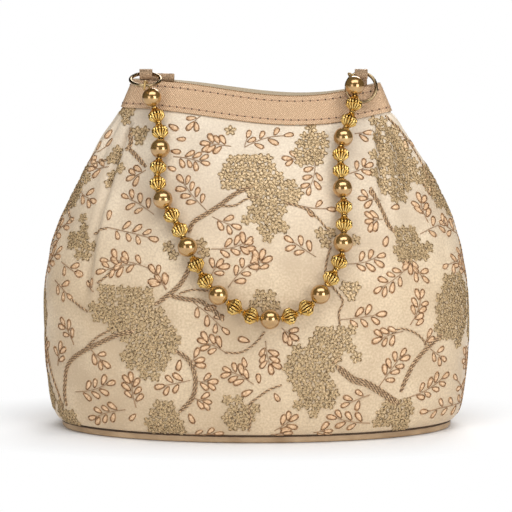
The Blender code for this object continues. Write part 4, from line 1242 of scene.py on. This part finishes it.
beads = []
for kind, begin, end in bead_spans:
    start, stop = (point_at(thread_line, thread_lengths, length) for length in (begin, end))
    form = pearl_form if kind == "P" else lantern_form
    bead = new_object("bead", form.data.copy())
    bead.location = (start + stop) / 2.0
    bead.rotation_euler = (stop - start).to_track_quat("Z", "Y").to_euler()
    select_only(bead)
    bpy.ops.object.transform_apply(location=True, rotation=True, scale=True)
    beads.append(bead)
pearls = [bead for bead, span in zip(beads, bead_spans) if span[0] == "P"]
lanterns = [bead for bead, span in zip(beads, bead_spans) if span[0] == "F"]
for number, pearl in enumerate(pearls, 1):
    pearl.name = f"round_pearl_{number:02d}"
    dressed(pearl, "handle", pearl_coat, "bronze_pearl", f"pearl_{number:02d}")
for number in range(1, 20, 2):
    pair = lanterns[number - 1]
    select_only(pair)
    lanterns[number].select_set(True)
    bpy.ops.object.join()
    pair.name = f"lantern_pair_{number // 2 + 1:02d}"
    dressed(pair, "handle", plated_gold, "bright_gold",
                          f"fluted_bead_{number:02d}", f"fluted_bead_{number + 1:02d}")
bpy.data.objects.remove(pearl_form)
bpy.data.objects.remove(lantern_form)

# Magnetic snap. A nickel-plated stud and socket inside the mouth, each held by a washer between the
# lining and the band.
nickel, tree, shader = surface("brushed_nickel", (0.62, 0.60, 0.55), 0.3, 1.0)
relief(tree, shader, specks(tree, 2500.0), 0.00002)
for node in ("snap_stud", "snap_socket", "snap_washer_front", "snap_washer_back"):
    painted(bpy.data.objects[node], nickel)

# Stage. A pale floor that fades into the white background, soft lamps above, at both sides and
# behind, and a dark wall all round that only glossy surfaces see.
LAMP_AIM = Vector((0.0, 0.0, 0.09))


def mixed_shaders(tree, amount, first, second, output):
    """Shows the second shader in place of the first one by an amount."""
    mix = tree.nodes.new("ShaderNodeMixShader")
    for place, value in enumerate((amount, first, second)):
        tree.links.new(value, mix.inputs[place])
    tree.links.new(mix.outputs["Shader"], tree.nodes[output].inputs["Surface"])


bpy.ops.mesh.primitive_circle_add(vertices=96, radius=2.4, fill_type="NGON", location=(0.0, 0.0, -0.0002))
ground = bpy.context.object
ground.name = "stage_floor"
ground_paint, tree, shader = surface("white_floor", (0.90, 0.90, 0.90), 0.9)
spread = pattern(tree, "ShaderNodeTexGradient")
spread.gradient_type = "SPHERICAL"
scale_down = tree.nodes.new("ShaderNodeMapping")
scale_down.inputs["Scale"].default_value = (4.2, 8.5, 1.0)
tree.links.new(tree.nodes["Texture Coordinate"].outputs["Object"], scale_down.inputs["Vector"])
tree.links.new(scale_down.outputs["Vector"], spread.inputs["Vector"])
near_bag = blend_colors(tree, spread.outputs["Fac"], (0.0, 0.0, 0.0), (1.0, 1.0, 1.0), 0.20, 0.50)
ways = tree.nodes.new("ShaderNodeLightPath")
away = tree.nodes.new("ShaderNodeMath")
away.operation = "SUBTRACT"
away.inputs[0].default_value = 1.0
tree.links.new(near_bag, away.inputs[1])
seen = joined_values(tree, ways.outputs["Is Camera Ray"], away.outputs["Value"])
white = tree.nodes.new("ShaderNodeEmission")
mixed_shaders(tree, seen, shader.outputs["BSDF"], white.outputs["Emission"], "Material Output")
ground.data.materials.append(ground_paint)

bpy.ops.mesh.primitive_cylinder_add(vertices=64, radius=2.6, depth=3.5, location=(0.0, 0.0, 0.75))
cards = bpy.context.object
cards.name = "stage_cards"
cards.data.materials.append(surface("dark_card", (0.05, 0.04, 0.03), 0.9)[0])
for sight in ("visible_camera", "visible_diffuse", "visible_shadow", "visible_transmission"):
    setattr(cards, sight, False)


def soft_lamp(name, place, width, height, power):
    lamp = bpy.data.lights.new(name, "AREA")
    lamp.shape = "RECTANGLE"
    lamp.size = width
    lamp.size_y = height
    lamp.energy = power
    holder = new_object(name, lamp)
    holder.location = place
    holder.rotation_euler = (LAMP_AIM - Vector(place)).to_track_quat("-Z", "Y").to_euler()


soft_lamp("top_lamp", (0.10, -0.62, 1.20), 1.6, 0.7, 11.5)
soft_lamp("left_lamp", (-0.72, -1.25, 0.33), 0.65, 0.65, 2.7)
soft_lamp("right_lamp", (0.85, -1.15, 0.30), 0.65, 0.65, 6.4)
soft_lamp("back_lamp", (0.35, 1.50, 0.95), 1.0, 1.0, 15.0)
sky = bpy.data.worlds.new("white_room")
bpy.context.scene.world = sky
sky.use_nodes = True
tree = sky.node_tree
room = tree.nodes["Background"]
room.inputs["Color"].default_value = (0.97, 0.98, 1.0, 1.0)
room.inputs["Strength"].default_value = 0.40
backdrop = tree.nodes.new("ShaderNodeBackground")
backdrop.inputs["Color"].default_value = (1.0, 1.0, 1.0, 1.0)
ways = tree.nodes.new("ShaderNodeLightPath")
gloss = joined_values(tree, ways.outputs["Is Camera Ray"], ways.outputs["Is Glossy Ray"], "MAXIMUM")
seen = joined_values(tree, gloss, ways.outputs["Is Transmission Ray"], "MAXIMUM")
mixed_shaders(tree, seen, room.outputs["Background"], backdrop.outputs["Background"], "World Output")
bpy.context.scene.view_settings.view_transform = "Standard"
